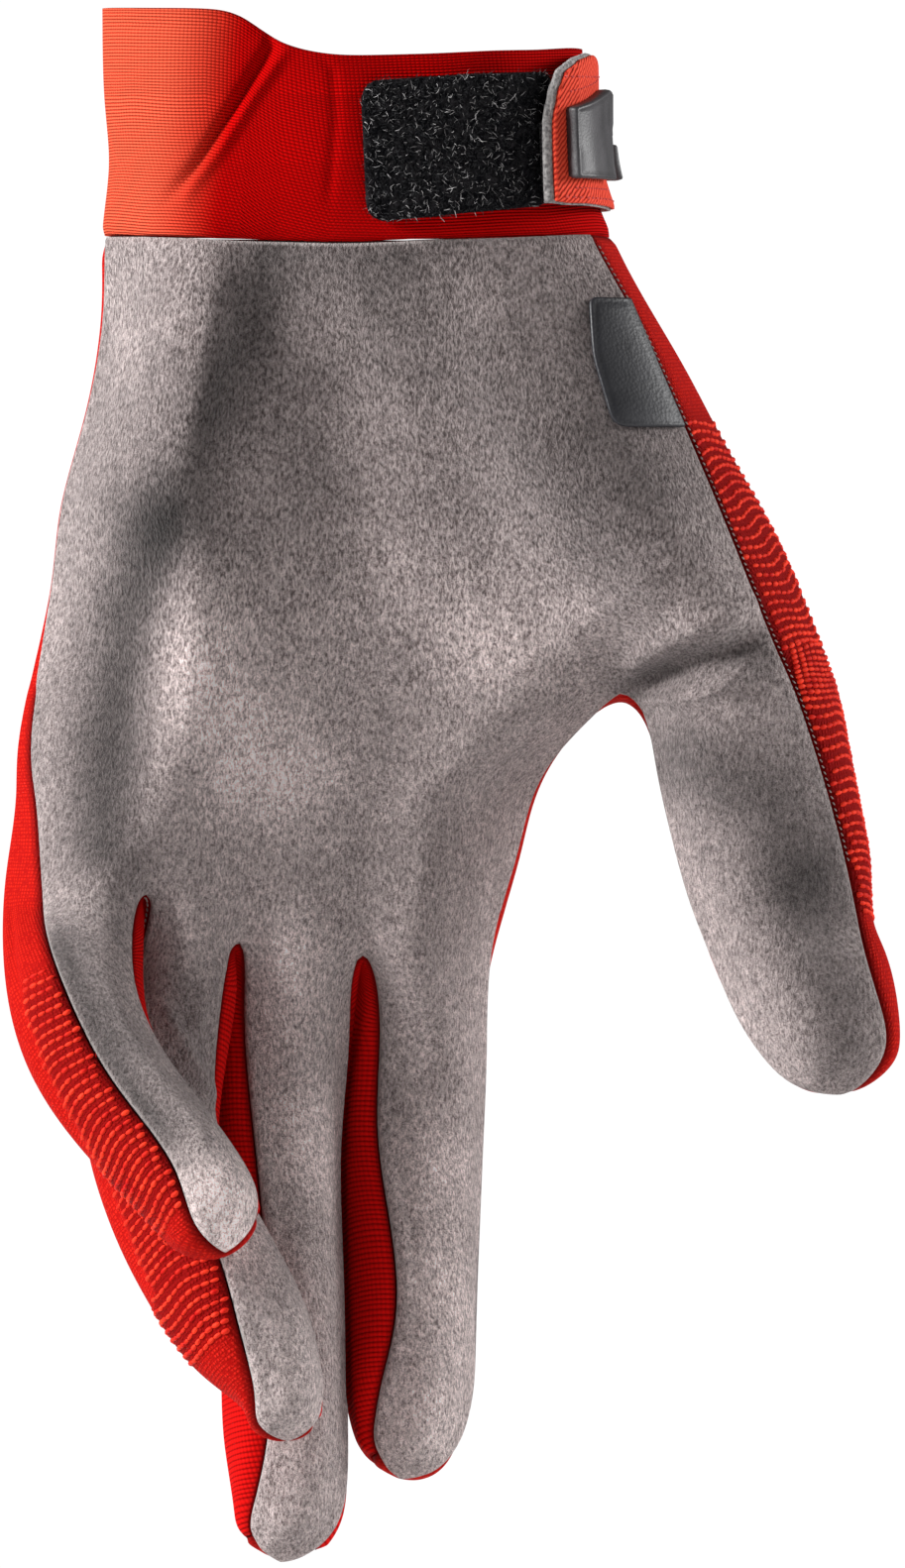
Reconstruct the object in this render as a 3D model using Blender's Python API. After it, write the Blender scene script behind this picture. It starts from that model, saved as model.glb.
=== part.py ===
"""Left-hand motocross glove, hollow and filled as on a hand, fingers down.

Up is +Z, the thumb is at +X and the palm faces -Y. The origin is the middle of the wrist opening.
"""

from collections import namedtuple
from math import cos, pi, radians, sin

import bpy
import numpy as np
from mathutils import Vector
from mathutils.bvhtree import BVHTree

# Driving sizes, in metres
LENGTH = 0.243          # top of the cuff to the tip of the middle finger
BREADTH = 0.080         # cuff, side to side
DEPTH = 0.050           # cuff, palm side to back
WALL = 0.0012           # suede, mesh and knit
SEAM_GAP = 0.0003       # between two sewn panels
PATCH_WALL = 0.0016     # loop patch
STRAP_WALL = 0.0016
HOOK_WALL = 0.0011
BADGE_WALL = 0.0020
PULL_WALL = 0.0024
LABEL_WALL = 0.0008     # dark patch by the thumb
REST_GAP = 0.0004       # under a piece that lies on another

# How finely the panels are cut
CAD_LEVEL = 1
REST_LEVEL = 3

# In the tables, across is in hundredths of BREADTH, down of LENGTH and toward of DEPTH.
# Toward is toward the palm side. Every listed point lies on the glove's outer surface.
Side = namedtuple("Side", "down seam seam_toward side side_toward rear rear_toward")
LITTLE_SIDE = (
    Side(-2.9, -48.8, 16, -49.8, 0, -48.2, -18),    # top of the cuff
    Side(2.9, -48.2, 16, -49.6, 0, -47.9, -18),
    Side(7.3, -47.5, 16, -48.4, 0, -46.9, -18),
    Side(11.9, -49.5, 8, -49.5, -6, -46.9, -20),    # foot of the cuff
    Side(16.6, -49.8, 0, -49.2, -14, -46.1, -24),
    Side(23.0, -52.9, -4, -51.9, -16, -48.6, -24),
    Side(29.3, -58.0, -6, -57.0, -18, -53.2, -26),
    Side(35.1, -59.7, -4, -59.3, -16, -55.9, -24),
    Side(43.4, -63.9, 12, -65.7, 0, -63.0, -12),    # level with the thumb's fork
    Side(47.9, -63.0, 20, -66.7, 8, -64.3, -4),
    Side(51.7, -62.4, 26, -68.0, 14, -65.9, 2),
    Side(55.2, -61.4, 36, -69.0, 22, -67.0, 8),     # level with the finger forks
)
THUMB_SIDE = (
    Side(-0.3, 41.6, 18, 44.2, 0, 42.0, -20),
    Side(2.9, 41.8, 18, 44.4, 0, 42.2, -20),
    Side(7.3, 42.6, 18, 45.0, 0, 43.0, -20),
    Side(11.9, 45.9, 24, 50.2, 2, 47.1, -20),
    Side(16.0, 53.1, 28, 56.4, 6, 52.3, -18),
    Side(20.7, 59.9, 30, 64.9, 8, 59.7, -18),
    Side(25.8, 66.6, 32, 73.0, 8, 67.3, -18),
    Side(31.6, 73.8, 34, 82.9, 10, 77.0, -16),
    Side(38.3, 81.8, 34, 91.0, 12, 85.9, -12),
)
INDEX_SIDE = (
    Side(46.3, 37.2, -9, 36.2, -19, 33.9, -28),
    Side(51.7, 31.8, -9, 31.0, -20, 28.5, -30),
    Side(57.4, 26.8, -9, 26.2, -18, 23.5, -28),
)

# The palm's relief and the back's, row by row. The web is the line between index and thumb.
Relief = namedtuple("Relief", "web web_down edge heel hollow index web_toward ball")
PALM = (
    Relief(27.1, 0.0, 32, 40, 48, 46, 42, 32),
    Relief(27.1, 2.9, 33, 41, 49, 47, 43, 33),
    Relief(27.1, 7.3, 33, 41, 49, 47, 43, 34),
    Relief(27.1, 11.9, 30, 40, 44, 45, 44, 37),
    Relief(28.7, 16.3, 30, 45, 39, 43, 46, 40),
    Relief(32.9, 21.8, 31, 48, 33, 42, 49, 44),
    Relief(38.8, 27.4, 31, 48, 29, 37, 49, 48),
    Relief(45.0, 33.5, 32, 47, 26, 30, 40, 49),
    Relief(52.7, 41.4, 35, 44, 25, 24, 18, 38),
    Relief(0, 0, 38, 43, 25, 20, 0, 0),
    Relief(0, 0, 43, 42, 26, 19, 0, 0),
)
BACK = (
    Relief(26.0, 0.0, -34, -42, -48, -46, -42, -34),
    Relief(26.0, 2.9, -34, -42, -49, -47, -43, -34),
    Relief(26.0, 7.3, -34, -42, -49, -47, -43, -34),
    Relief(26.5, 11.9, -34, -41, -48, -46, -42, -34),
    Relief(28.0, 16.3, -32, -38, -46, -45, -41, -32),
    Relief(32.0, 21.5, -30, -34, -44, -44, -40, -32),
    Relief(38.0, 27.0, -27, -30, -42, -43, -40, -32),
    Relief(44.0, 32.8, -23, -26, -40, -42, -37, -32),
    Relief(51.9, 40.8, -16, -20, -38, -40, -22, -30),
    Relief(0, 0, -9, -15, -37, -37, 0, 0),
    Relief(0, 0, -3, -10, -36, -38, 0, 0),
)
# Where the little, ring, middle and index finger begin, as shares of the way from seam to web
COLUMN_SHARES = (0, 0.12, 0.247, 0.344, 0.441, 0.575, 0.709, 0.854, 1.0)
# How the top edge of the cuff stands above its sides, column by column, little finger first
CUFF_TOP = (-2.9, -2.8, -2.7, -2.2, -0.6, 0.25, 0.3, 0.2, 0.0, -0.1, -0.3)
# How far the foot of the cuff sags over the palm, column by column
CUFF_SAG = (0, 0.1, 0.25, 0.4, 0.55, 0.65, 0.55, 0.35, 0.2, 0.0, -0.2)

Fork = namedtuple("Fork", "across front_down front_toward mid_down mid_toward back_down back_toward")
THUMB_FORK = Fork(53.1, 41.4, 12, 41.2, -4, 40.8, -22)
# Each finger's own fork row: middles and forks in turn, from the little finger to the index
Knuckle = namedtuple("Knuckle", "across down toward back_across back_down back_toward")
FINGER_ROW = (
    Knuckle(-53.5, 55.0, 50, -57.5, 53.6, 8),
    Knuckle(-40.1, 53.5, 35, -46.5, 52.3, -2),      # fork of little and ring finger
    Knuckle(-31.2, 56.5, 37, -37.0, 54.2, -10),
    Knuckle(-23.1, 57.7, 23, -28.5, 55.8, -18),     # fork of ring and middle finger
    Knuckle(-11.2, 58.6, 26, -14.0, 56.1, -27),
    Knuckle(0.6, 58.3, 16, -0.5, 56.1, -26),        # fork of middle and index finger
    Knuckle(14.0, 58.2, 19, 12.8, 56.1, -33),
)
# Across, toward and down of the middle of each fork
FORK_MIDDLES = ((-43.0, 16, 53.2), (-25.8, 3, 57.4), (0.0, -6, 57.8))

# One row for each ring of points round a digit. Seams are degrees from the palm-facing side,
# toward the thumb side positive.
Ring = namedtuple("Ring", "across down toward half_width half_depth seam_from seam_to")
LITTLE = (
    Ring(-55.4, 60.6, 50, 12.9, 19.0, -18, 70),
    Ring(-50.2, 65.4, 66, 12.4, 18.6, -10, 80),
    Ring(-42.2, 68.9, 76, 12.2, 18.0, -14, 100),
    Ring(-32.6, 72.7, 87, 11.3, 17.0, -18, 100),
    Ring(-27.2, 75.6, 94, 9.2, 13.6, -36, 95),
)
RING = (
    Ring(-34.9, 60.6, 22, 10.2, 19.0, -66, 66),
    Ring(-40.5, 67.3, 28, 13.0, 20.0, -25, 80),
    Ring(-36.8, 73.1, 42, 13.3, 19.4, 0, 110),
    Ring(-28.4, 78.5, 58, 13.8, 19.0, 3, 115),
    Ring(-21.0, 82.5, 66, 12.9, 17.6, -12, 110),
    Ring(-14.8, 85.9, 70, 8.9, 14.4, -42, 112),
    Ring(-13.6, 88.2, 72, 6.6, 10.0, -70, 108),
)
MIDDLE = (
    Ring(-13.9, 63.5, 2, 12.7, 20.6, -46, 95),
    Ring(-16.4, 70.8, 7, 13.1, 20.6, -18, 100),
    Ring(-14.7, 78.2, 17, 12.1, 20.0, -18, 105),
    Ring(-14.1, 84.9, 25, 11.9, 19.6, -18, 105),
    Ring(-13.8, 89.6, 30, 11.6, 18.4, -19, 100),
    Ring(-13.1, 93.8, 35, 10.2, 15.2, -45, 95),
    Ring(-14.8, 96.1, 38, 7.0, 10.4, -65, 90),
)
INDEX = (
    Ring(12.2, 63.5, -9, 13.2, 21.4, -40, 105),
    Ring(10.4, 70.2, -8, 14.2, 21.0, -30, 105),
    Ring(10.4, 76.6, 2, 13.5, 20.4, -19, 110),
    Ring(10.2, 82.0, 8, 13.0, 20.0, -12, 110),
    Ring(10.4, 86.3, 15, 12.2, 18.8, -28, 105),
    Ring(10.1, 89.3, 20, 10.0, 15.2, -46, 100),
    Ring(9.3, 91.1, 24, 6.6, 10.4, -62, 90),
)
THUMB = (
    Ring(76.8, 44.2, 12, 19.0, 28.0, -90, 35),
    Ring(80.2, 49.6, 16, 18.5, 25.6, -92, 45),
    Ring(82.9, 53.8, 20, 17.8, 23.2, -92, 50),
    Ring(85.1, 57.4, 24, 15.8, 21.2, -92, 62),
    Ring(88.7, 60.1, 28, 15.7, 21.2, -92, 50),
    Ring(92.6, 63.0, 31, 14.1, 18.8, -92, 50),
    Ring(96.0, 65.6, 33.6, 10.3, 13.2, -85, 55),
)
TIPS = {
    "little": (-25.2, 77.5, 98),
    "ring": (-13.2, 89.6, 73),
    "middle": (-14.7, 97.4, 40),
    "index": (8.5, 92.1, 26),
    "thumb": (97.3, 67.2, 35),
}

# The strap, from its free end over the palm side round the thumb side to the back
Tab = namedtuple("Tab", "turn top foot lift_mm")
STRAP = (
    Tab(55, 4.5, 9.9, 3.8),
    Tab(57, 2.6, 9.9, 3.8),
    Tab(60, 1.3, 10.0, 3.8),
    Tab(66, 0.5, 10.0, 3.7),
    Tab(75, 0.1, 10.1, 2.2),
    Tab(85, 0.2, 10.2, 1.0),
    Tab(100, 0.4, 10.2, 0.7),
    Tab(150, 0.9, 10.2, 0.7),
)
STRAP_TURNS = (55, 57, 60, 63, 66, 70, 75, 80, 85, 90, 96, 102, 109, 116, 124, 132, 141, 150)
HOOK_TURNS = (56.5, 59, 62, 65)
HOOK_TOP, HOOK_FOOT, HOOK_LIFT_MM = 4.6, 9.4, 2.2

# Corners of the pieces that lie on others: across or turn, down, corner radius in mm
LOOP_CORNERS = ((0.6, 2.1, 3.4), (36.5, 1.4, 2.0), (36.5, 10.1, 2.0), (1.9, 11.1, 3.6))
LABEL_CORNERS = (
    (44.9, 16.0, 1.4), (52.8, 16.1, 0.3), (63.6, 24.4, 0.4), (49.8, 24.4, 2.4), (45.7, 19.8, 2.2),
)
BADGE_CORNERS = (
    (60.5, 3.7, 0.6), (80, 2.4, 0.6), (88, 2.6, 0.6), (88, 4.6, 0.4), (83, 5.4, 0.4), (79, 8.3, 0.6),
    (60.5, 8.3, 0.6),
)
PULL_CORNERS = ((88, 5.9, 0.4), (99, 5.9, 0.4), (99, 8.2, 0.4), (88, 8.2, 0.4))

SUEDE = ("suede", (0.36, 0.33, 0.32), 0.95)
MESH = ("stretch_mesh", (0.80, 0.05, 0.02), 0.75)
KNIT = ("ribbed_knit", (0.55, 0.01, 0.01), 0.85)
MOULDED = ("moulded_knit", (0.82, 0.06, 0.02), 0.70)
LOOP = ("loop_pile", (0.012, 0.012, 0.013), 1.0)
WEBBING = ("strap_knit", (0.80, 0.06, 0.025), 0.75)
HOOK = ("hook_pad", (0.05, 0.045, 0.045), 0.6)
RUBBER = ("rubber", (0.075, 0.07, 0.075), 0.55)
LEATHERETTE = ("smooth_patch", (0.022, 0.022, 0.026), 0.5)

PANELS = ("palm", "back", "cuff", "gusset_ring_little", "gusset_middle_ring", "gusset_index_middle")
PANEL_MATERIALS = (SUEDE, MESH, MOULDED, KNIT, KNIT, KNIT)
PALM_PANEL, BACK_PANEL, CUFF_PANEL = 0, 1, 2


def place(across, toward, down):
    """A point from hundredths of the three driving sizes."""
    return np.array((across * BREADTH, -toward * DEPTH, -down * LENGTH)) / 100


def blend(start, end, share):
    return start + (end - start) * share


# Rows of the hand

def across_the_row(little, web_across, web_down):
    """(across, down) of the nine columns from the little-finger side to the web."""
    return [
        (blend(little[0], web_across, share), blend(little[1], web_down, share))
        for share in COLUMN_SHARES
    ]


def relief_of(first, row, last):
    """Toward for the nine columns: two by the edge, the heel, the hollow, the index and the last."""
    third = blend(row.heel, row.hollow, 0.34)
    fourth = blend(row.heel, row.hollow, 0.68)
    sixth = blend(row.hollow, row.index, 0.6)
    return [first, row.edge, row.heel, third, fourth, row.hollow, sixth, row.index, last]


def wide_row(number):
    """24 points round a row that takes in the thumb, from the little-finger seam along the palm."""
    little, thumb = LITTLE_SIDE[number], THUMB_SIDE[number]
    palm, back = PALM[number], BACK[number]
    front = across_the_row((little.seam, little.down), palm.web, palm.web_down)
    rear = across_the_row((little.rear, little.down), back.web, back.web_down)
    front_toward = relief_of(little.seam_toward, palm, palm.web_toward)
    rear_toward = relief_of(little.rear_toward, back, back.web_toward)
    front.append((blend(palm.web, thumb.seam, 0.55), blend(palm.web_down, thumb.down, 0.55)))
    rear.append((blend(back.web, thumb.rear, 0.55), blend(back.web_down, thumb.down, 0.55)))
    front.append((thumb.seam, thumb.down))
    rear.append((thumb.rear, thumb.down))
    front_toward += [palm.ball, thumb.seam_toward]
    rear_toward += [back.ball, thumb.rear_toward]
    if number == 0:
        front = [(spot[0], down) for spot, down in zip(front, CUFF_TOP)]
        rear = [(spot[0], down) for spot, down in zip(rear, CUFF_TOP)]
    if number == 3:
        front = [(spot[0], spot[1] + sag) for spot, sag in zip(front, CUFF_SAG)]
    points = [place(a, t, d) for (a, d), t in zip(front, front_toward)]
    points.append(place(thumb.side, thumb.side_toward, thumb.down))
    points += [place(a, t, d) for (a, d), t in reversed(list(zip(rear, rear_toward)))]
    points.append(place(little.side, little.side_toward, little.down))
    return points


def narrow_row(number):
    """20 points round a row below the thumb's fork."""
    little, index = LITTLE_SIDE[number], INDEX_SIDE[number - 9]
    palm, back = PALM[number], BACK[number]
    front = across_the_row((little.seam, little.down), index.seam, index.down)
    rear = across_the_row((little.rear, little.down), index.rear, index.down)
    front_toward = relief_of(little.seam_toward, palm, index.seam_toward)
    rear_toward = relief_of(little.rear_toward, back, index.rear_toward)
    points = [place(a, t, d) for (a, d), t in zip(front, front_toward)]
    points.append(place(index.side, index.side_toward, index.down))
    points += [place(a, t, d) for (a, d), t in reversed(list(zip(rear, rear_toward)))]
    points.append(place(little.side, little.side_toward, little.down))
    return points


def finger_row():
    """20 points round the row where the fingers part."""
    little, index = LITTLE_SIDE[-1], INDEX_SIDE[-1]
    front = [place(little.seam, little.seam_toward, little.down)]
    front += [place(k.across, k.toward, k.down) for k in FINGER_ROW]
    front.append(place(index.seam, index.seam_toward, index.down))
    rear = [place(little.rear, little.rear_toward, little.down)]
    rear += [place(k.back_across, k.back_toward, k.back_down) for k in FINGER_ROW]
    rear.append(place(index.rear, index.rear_toward, index.down))
    points = front + [place(index.side, index.side_toward, index.down)]
    return points + rear[::-1] + [place(little.side, little.side_toward, little.down)]


# Rings of the digits

def digit_rings(rings, tip, root):
    """The 8 points round each ring, square to the line through their middles."""
    middles = [place(r.across, r.toward, r.down) for r in rings]
    line = [root] + middles + [tip]
    made = []
    for number, ring in enumerate(rings):
        along = line[number + 2] - line[number]
        along /= np.linalg.norm(along)
        right = np.array((1.0, 0.0, 0.0)) - along[0] * along
        right /= np.linalg.norm(right)
        toward = np.cross(along, right)
        toward *= -1 if toward[1] > 0 else 1
        step = (360 - ring.seam_to + ring.seam_from) / 6
        turns = [ring.seam_from, (ring.seam_from + ring.seam_to) / 2]
        turns += [ring.seam_to + step * number for number in range(6)]
        made.append([
            middles[number]
            + right * sin(radians(turn)) * ring.half_width * BREADTH / 100
            + toward * cos(radians(turn)) * ring.half_depth * DEPTH / 100
            for turn in turns
        ])
    return made


# The control cage: quads all over, one tube for the hand and one for each digit

class Cage:
    """Points, quads and the panel that each quad belongs to."""

    def __init__(self):
        self.points, self.faces, self.panels = [], [], []

    def add(self, points):
        first = len(self.points)
        self.points += list(points)
        return list(range(first, len(self.points)))

    def join(self, upper, lower, panels):
        count = len(upper)
        for k in range(count):
            after = (k + 1) % count
            self.faces.append((upper[k], lower[k], lower[after], upper[after]))
            self.panels.append(panels[k])

    def close(self, ring, tip):
        for k in (1, 3, 5, 7):
            self.faces.append((tip, ring[(k + 1) % 8], ring[k], ring[k - 1]))
            self.panels.append(PALM_PANEL if k == 1 else BACK_PANEL)


def add_digit(cage, root, rings, tip, thumb_side, little_side, little_rings=9):
    """A digit from the 8 shared points of its root ring to its tip.

    Its little-finger side is of the little_side panel for little_rings rings, then of the back.
    """
    tip_point = place(tip[0], tip[2], tip[1])
    middle = sum(cage.points[k] for k in root) / len(root)
    panels = [PALM_PANEL] * 2 + [thumb_side] * 2 + [BACK_PANEL] * 2 + [little_side] * 2
    upper = root
    for number, points in enumerate(digit_rings(rings, tip_point, middle)):
        lower = cage.add(points)
        if number == little_rings:
            panels = panels[:6] + [BACK_PANEL] * 2
        cage.join(upper, lower, panels)
        upper = lower
    cage.close(upper, cage.add([tip_point])[0])


def glove_cage():
    cage = Cage()
    rows = [cage.add(wide_row(number)) for number in range(9)]
    fork = THUMB_FORK
    cage.points[rows[8][8]] = place(fork.across, fork.front_toward, fork.front_down)
    cage.points[rows[8][14]] = place(fork.across, fork.back_toward, fork.back_down)
    hand_panels = [PALM_PANEL] * 10 + [BACK_PANEL] * 14
    for number in range(8):
        cage.join(rows[number], rows[number + 1], [CUFF_PANEL] * 24 if number < 3 else hand_panels)
    wide = rows[8]
    fork_middle = cage.add([place(fork.across, fork.mid_toward, fork.mid_down)])[0]
    upper = wide[:9] + [fork_middle] + wide[14:]
    thumb_root = wide[8:15] + [fork_middle]
    below = [PALM_PANEL] * 8 + [BACK_PANEL] * 12
    for points in (narrow_row(9), narrow_row(10), finger_row()):
        lower = cage.add(points)
        cage.join(upper, lower, below)
        upper = lower
    forks = cage.add([place(*middle) for middle in FORK_MIDDLES])
    front, side, rear, little_edge = upper[:9], upper[9], upper[18:9:-1], upper[19]
    edges = [little_edge] + forks + [side]
    gussets = (BACK_PANEL, 3, 4, 5, BACK_PANEL)
    fingers = ((LITTLE, "little"), (RING, "ring"), (MIDDLE, "middle"), (INDEX, "index"))
    for number, (rings, name) in enumerate(fingers):
        at = 2 * number
        root = [front[at], front[at + 1], front[at + 2], edges[number + 1]]
        root += [rear[at + 2], rear[at + 1], rear[at], edges[number]]
        gusset_rings = 2 if name == "ring" else 9
        add_digit(cage, root, rings, TIPS[name], gussets[number + 1], gussets[number], gusset_rings)
    add_digit(cage, thumb_root, THUMB, TIPS["thumb"], BACK_PANEL, BACK_PANEL)
    return cage


def smoothed(points, faces, panels, level):
    """The cage's smooth surface, as arrays of points, quads and panels."""
    mesh = bpy.data.meshes.new("cage")
    mesh.from_pydata([tuple(p) for p in points], [], faces)
    for name in PANELS:
        mesh.materials.append(bpy.data.materials.get(name) or bpy.data.materials.new(name))
    mesh.polygons.foreach_set("material_index", panels)
    cage = bpy.data.objects.new("cage", mesh)
    bpy.context.scene.collection.objects.link(cage)
    smooth = cage.modifiers.new("smooth", "SUBSURF")
    smooth.levels = smooth.render_levels = level
    graph = bpy.context.evaluated_depsgraph_get()
    made = cage.evaluated_get(graph).to_mesh()
    out_points = np.empty(len(made.vertices) * 3)
    made.vertices.foreach_get("co", out_points)
    out_faces = [tuple(face.vertices) for face in made.polygons]
    out_panels = [face.material_index for face in made.polygons]
    cage.evaluated_get(graph).to_mesh_clear()
    bpy.data.objects.remove(cage)
    bpy.data.meshes.remove(mesh)
    return out_points.reshape(-1, 3), out_faces, out_panels


def fitted(cage, rounds=4, pull=0.7):
    """The cage's points moved outwards until the smooth surface passes by the listed ones.

    The forks, where more than four edges meet, are left as they are and so stay soft.
    """
    wanted = np.array(cage.points)
    meeting = np.bincount(np.array(cage.faces).ravel(), minlength=len(wanted))
    pulls = np.where(meeting > 4, 0, pull)[:, None]
    points = wanted.copy()
    for _ in range(rounds):
        surface = smoothed(points, cage.faces, cage.panels, 1)[0][:len(points)]
        points += (wanted - surface) * pulls
    return points


# Panels as solids

def ways_out(points, faces, ease=0.02):
    """The step from each point that takes every face there one unit out. Ease shortens it in sharp folds."""
    spread = np.tile(np.eye(3) * ease, (len(points), 1, 1))
    total = np.zeros_like(points)
    for face in faces:
        corners = points[list(face)]
        normal = np.cross(corners[2] - corners[0], corners[3] - corners[1])
        normal /= np.linalg.norm(normal)
        spread[list(face)] += np.outer(normal, normal)
        total[list(face)] += normal
    return np.linalg.solve(spread, total[:, :, None])[:, :, 0]


def border_of(faces):
    """The directed edges that only one of these faces has, with that face's number."""
    seen = {}
    for number, face in enumerate(faces):
        for k, start in enumerate(face):
            seen[(start, face[(k + 1) % len(face)])] = number
    return {edge: number for edge, number in seen.items() if edge[::-1] not in seen}


def drawn_in(points, faces, border, reach):
    """How far each border point moves into its panel, so that a gap stays along the seam."""
    inward = {}
    for (start, end), number in border.items():
        corners = points[list(faces[number])]
        normal = np.cross(corners[2] - corners[0], corners[3] - corners[1])
        into = np.cross(normal, points[end] - points[start])
        into /= np.linalg.norm(into)
        for point in (start, end):
            inward.setdefault(point, []).append(into)
    moves = {}
    for point, ways in inward.items():
        mean = sum(ways) / len(ways)
        length = max(np.linalg.norm(mean), 0.6)
        moves[point] = mean / length ** 2 * reach
    return moves


def halved(points, faces):
    """Each quad as two triangles, cut along its shorter diagonal."""
    made = []
    for a, b, c, d in faces:
        if np.linalg.norm(points[a] - points[c]) <= np.linalg.norm(points[b] - points[d]):
            made += [(a, b, c), (a, c, d)]
        else:
            made += [(b, c, d), (b, d, a)]
    return made


def panel_mesh(points, outward, faces, wall):
    """One panel with its wall inwards, as points and faces."""
    border = border_of(faces)
    moves = drawn_in(points, faces, border, SEAM_GAP / 2)
    used = sorted({k for face in faces for k in face})
    index = {k: n for n, k in enumerate(used)}
    outer = np.array([points[k] + moves.get(k, 0) for k in used])
    inner = outer - outward[used] * wall
    count = len(used)
    cut = halved(points, faces)
    skin = [tuple(index[k] for k in face) for face in cut]
    lining = [tuple(count + index[k] for k in reversed(face)) for face in cut]
    # The rim's quads are cut by where the seam is, so that both panels beside it cut them alike.
    seam = np.vstack((points, points - outward * wall))
    beyond = len(points)
    quads = [(end, start, beyond + start, beyond + end) for start, end in border]
    rim = [
        tuple(index[k] if k < beyond else count + index[k - beyond] for k in face)
        for face in halved(seam, quads)
    ]
    return np.vstack((outer, inner)), skin + lining + rim


def new_object(name, points, faces, look):
    mesh = bpy.data.meshes.new(name)
    mesh.from_pydata([tuple(p) for p in points], [], faces)
    mesh.materials.append(material(*look))
    mesh.validate()
    obj = bpy.data.objects.new(name, mesh)
    bpy.context.scene.collection.objects.link(obj)
    return obj


def material(name, colour, roughness):
    made = bpy.data.materials.get(name)
    if made:
        return made
    made = bpy.data.materials.new(name)
    made.use_nodes = True
    shader = made.node_tree.nodes["Principled BSDF"]
    shader.inputs["Base Color"].default_value = (*colour, 1)
    shader.inputs["Roughness"].default_value = roughness
    shader.inputs["Metallic"].default_value = 0
    return made


# Pieces that lie on the panels

def surface_tree(points, faces):
    return BVHTree.FromPolygons([Vector(p) for p in points], faces)


def from_the_palm_side(tree):
    """A caster that drops points straight onto the glove from in front of the palm."""
    def cast(across, down):
        start = Vector((across * BREADTH / 100, -1.0, -down * LENGTH / 100))
        spot, normal, _, _ = tree.ray_cast(start, Vector((0, 1, 0)))
        return np.array(spot), np.array(normal)
    return cast


def from_round_the_cuff(tree):
    """A caster that drops points onto the cuff, at a turn in degrees from the palm side."""
    def cast(turn, down):
        out = Vector((sin(radians(turn)), -cos(radians(turn)), 0))
        start = out * 1.0 + Vector((0, 0, -down * LENGTH / 100))
        spot, normal, _, _ = tree.ray_cast(start, -out)
        normal = np.array((normal[0], normal[1], 0))
        return np.array(spot), normal / np.linalg.norm(normal)
    return cast


def strap_lift(turn):
    return np.interp(turn, [t.turn for t in STRAP], [t.lift_mm for t in STRAP]) / 1000


def rounded(corners, unit_across, steps=3):
    """An outline with its corners rounded. unit_across is the length of one unit across, in mm."""
    scale = np.array((unit_across, LENGTH * 10))
    spots = [np.array(c[:2]) * scale for c in corners]
    outline = []
    for k, corner in enumerate(corners):
        here, before, after = spots[k], spots[k - 1], spots[(k + 1) % len(spots)]
        back = (before - here) / np.linalg.norm(before - here)
        ahead = (after - here) / np.linalg.norm(after - here)
        for step in range(steps + 1):
            share = step / steps
            reach = corner[2]
            bend = back * reach * (1 - share) ** 2 + ahead * reach * share ** 2
            outline.append((here + bend) / scale)
    return dense(outline, scale)


def dense(outline, scale, longest=2.6):
    """The outline with points added on its long sides."""
    made = []
    for k, start in enumerate(outline):
        end = outline[(k + 1) % len(outline)]
        parts = max(1, round(float(np.linalg.norm((end - start) * scale)) / longest))
        made += [blend(start, end, part / parts) for part in range(parts)]
    return made


def pad(name, outline, cast, lift_of, wall, look, rings=(1.0, 0.72, 0.4)):
    """A flat piece with this outline, laid on the surface that cast finds."""
    centre = sum(outline) / len(outline)
    low, high = [], []
    for ring in rings:
        for spot in outline:
            a, d = blend(centre, spot, ring)
            point, normal = cast(a, d)
            low.append(point + normal * lift_of(a))
            high.append(point + normal * (lift_of(a) + wall))
    point, normal = cast(*centre)
    low.append(point + normal * lift_of(centre[0]))
    high.append(point + normal * (lift_of(centre[0]) + wall))
    around, middle = len(outline), len(low)
    top, sides = [], []
    for ring in range(len(rings)):
        for k in range(around):
            here, after = ring * around + k, ring * around + (k + 1) % around
            if ring + 1 < len(rings):
                top.append((here, here + around, after + around, after))
            else:
                top.append((here, middle - 1, after))
            if ring == 0:
                sides.append((after, here, here + middle, after + middle))
    upper = [tuple(k + middle for k in face) for face in top]
    lower = [tuple(reversed(face)) for face in top]
    return new_object(name, low + high, upper + lower + sides, look)


def band(name, turns, tops, feet, lifts, cast, wall, look, rows=4):
    """A band along the cuff, from the first turn to the last, with square ends."""
    points, faces = [], []
    for turn, top, foot, lift in zip(turns, tops, feet, lifts):
        for row in range(rows + 1):
            spot, normal = cast(turn, blend(top, foot, row / rows))
            points += [spot + normal * lift, spot + normal * (lift + wall)]
    stride = 2 * (rows + 1)
    for k in range(len(turns) - 1):
        for row in range(rows):
            at = k * stride + 2 * row
            faces.append((at, at + stride, at + stride + 2, at + 2))
            faces.append((at + 1, at + 3, at + stride + 3, at + stride + 1))
        for at, flip in ((k * stride, False), (k * stride + 2 * rows, True)):
            side = (at, at + 1, at + stride + 1, at + stride)
            faces.append(side[::-1] if flip else side)
    last = (len(turns) - 1) * stride
    for row in range(rows):
        at = 2 * row
        faces.append((at, at + 2, at + 3, at + 1))
        faces.append((last + at, last + at + 1, last + at + 3, last + at + 2))
    return new_object(name, points, faces, look)


def make_panels(points, faces, panels):
    outward = ways_out(points, faces)
    for number, name in enumerate(PANELS):
        own = [face for face, panel in zip(faces, panels) if panel == number]
        new_object(name, *panel_mesh(points, outward, own, WALL), PANEL_MATERIALS[number])


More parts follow.
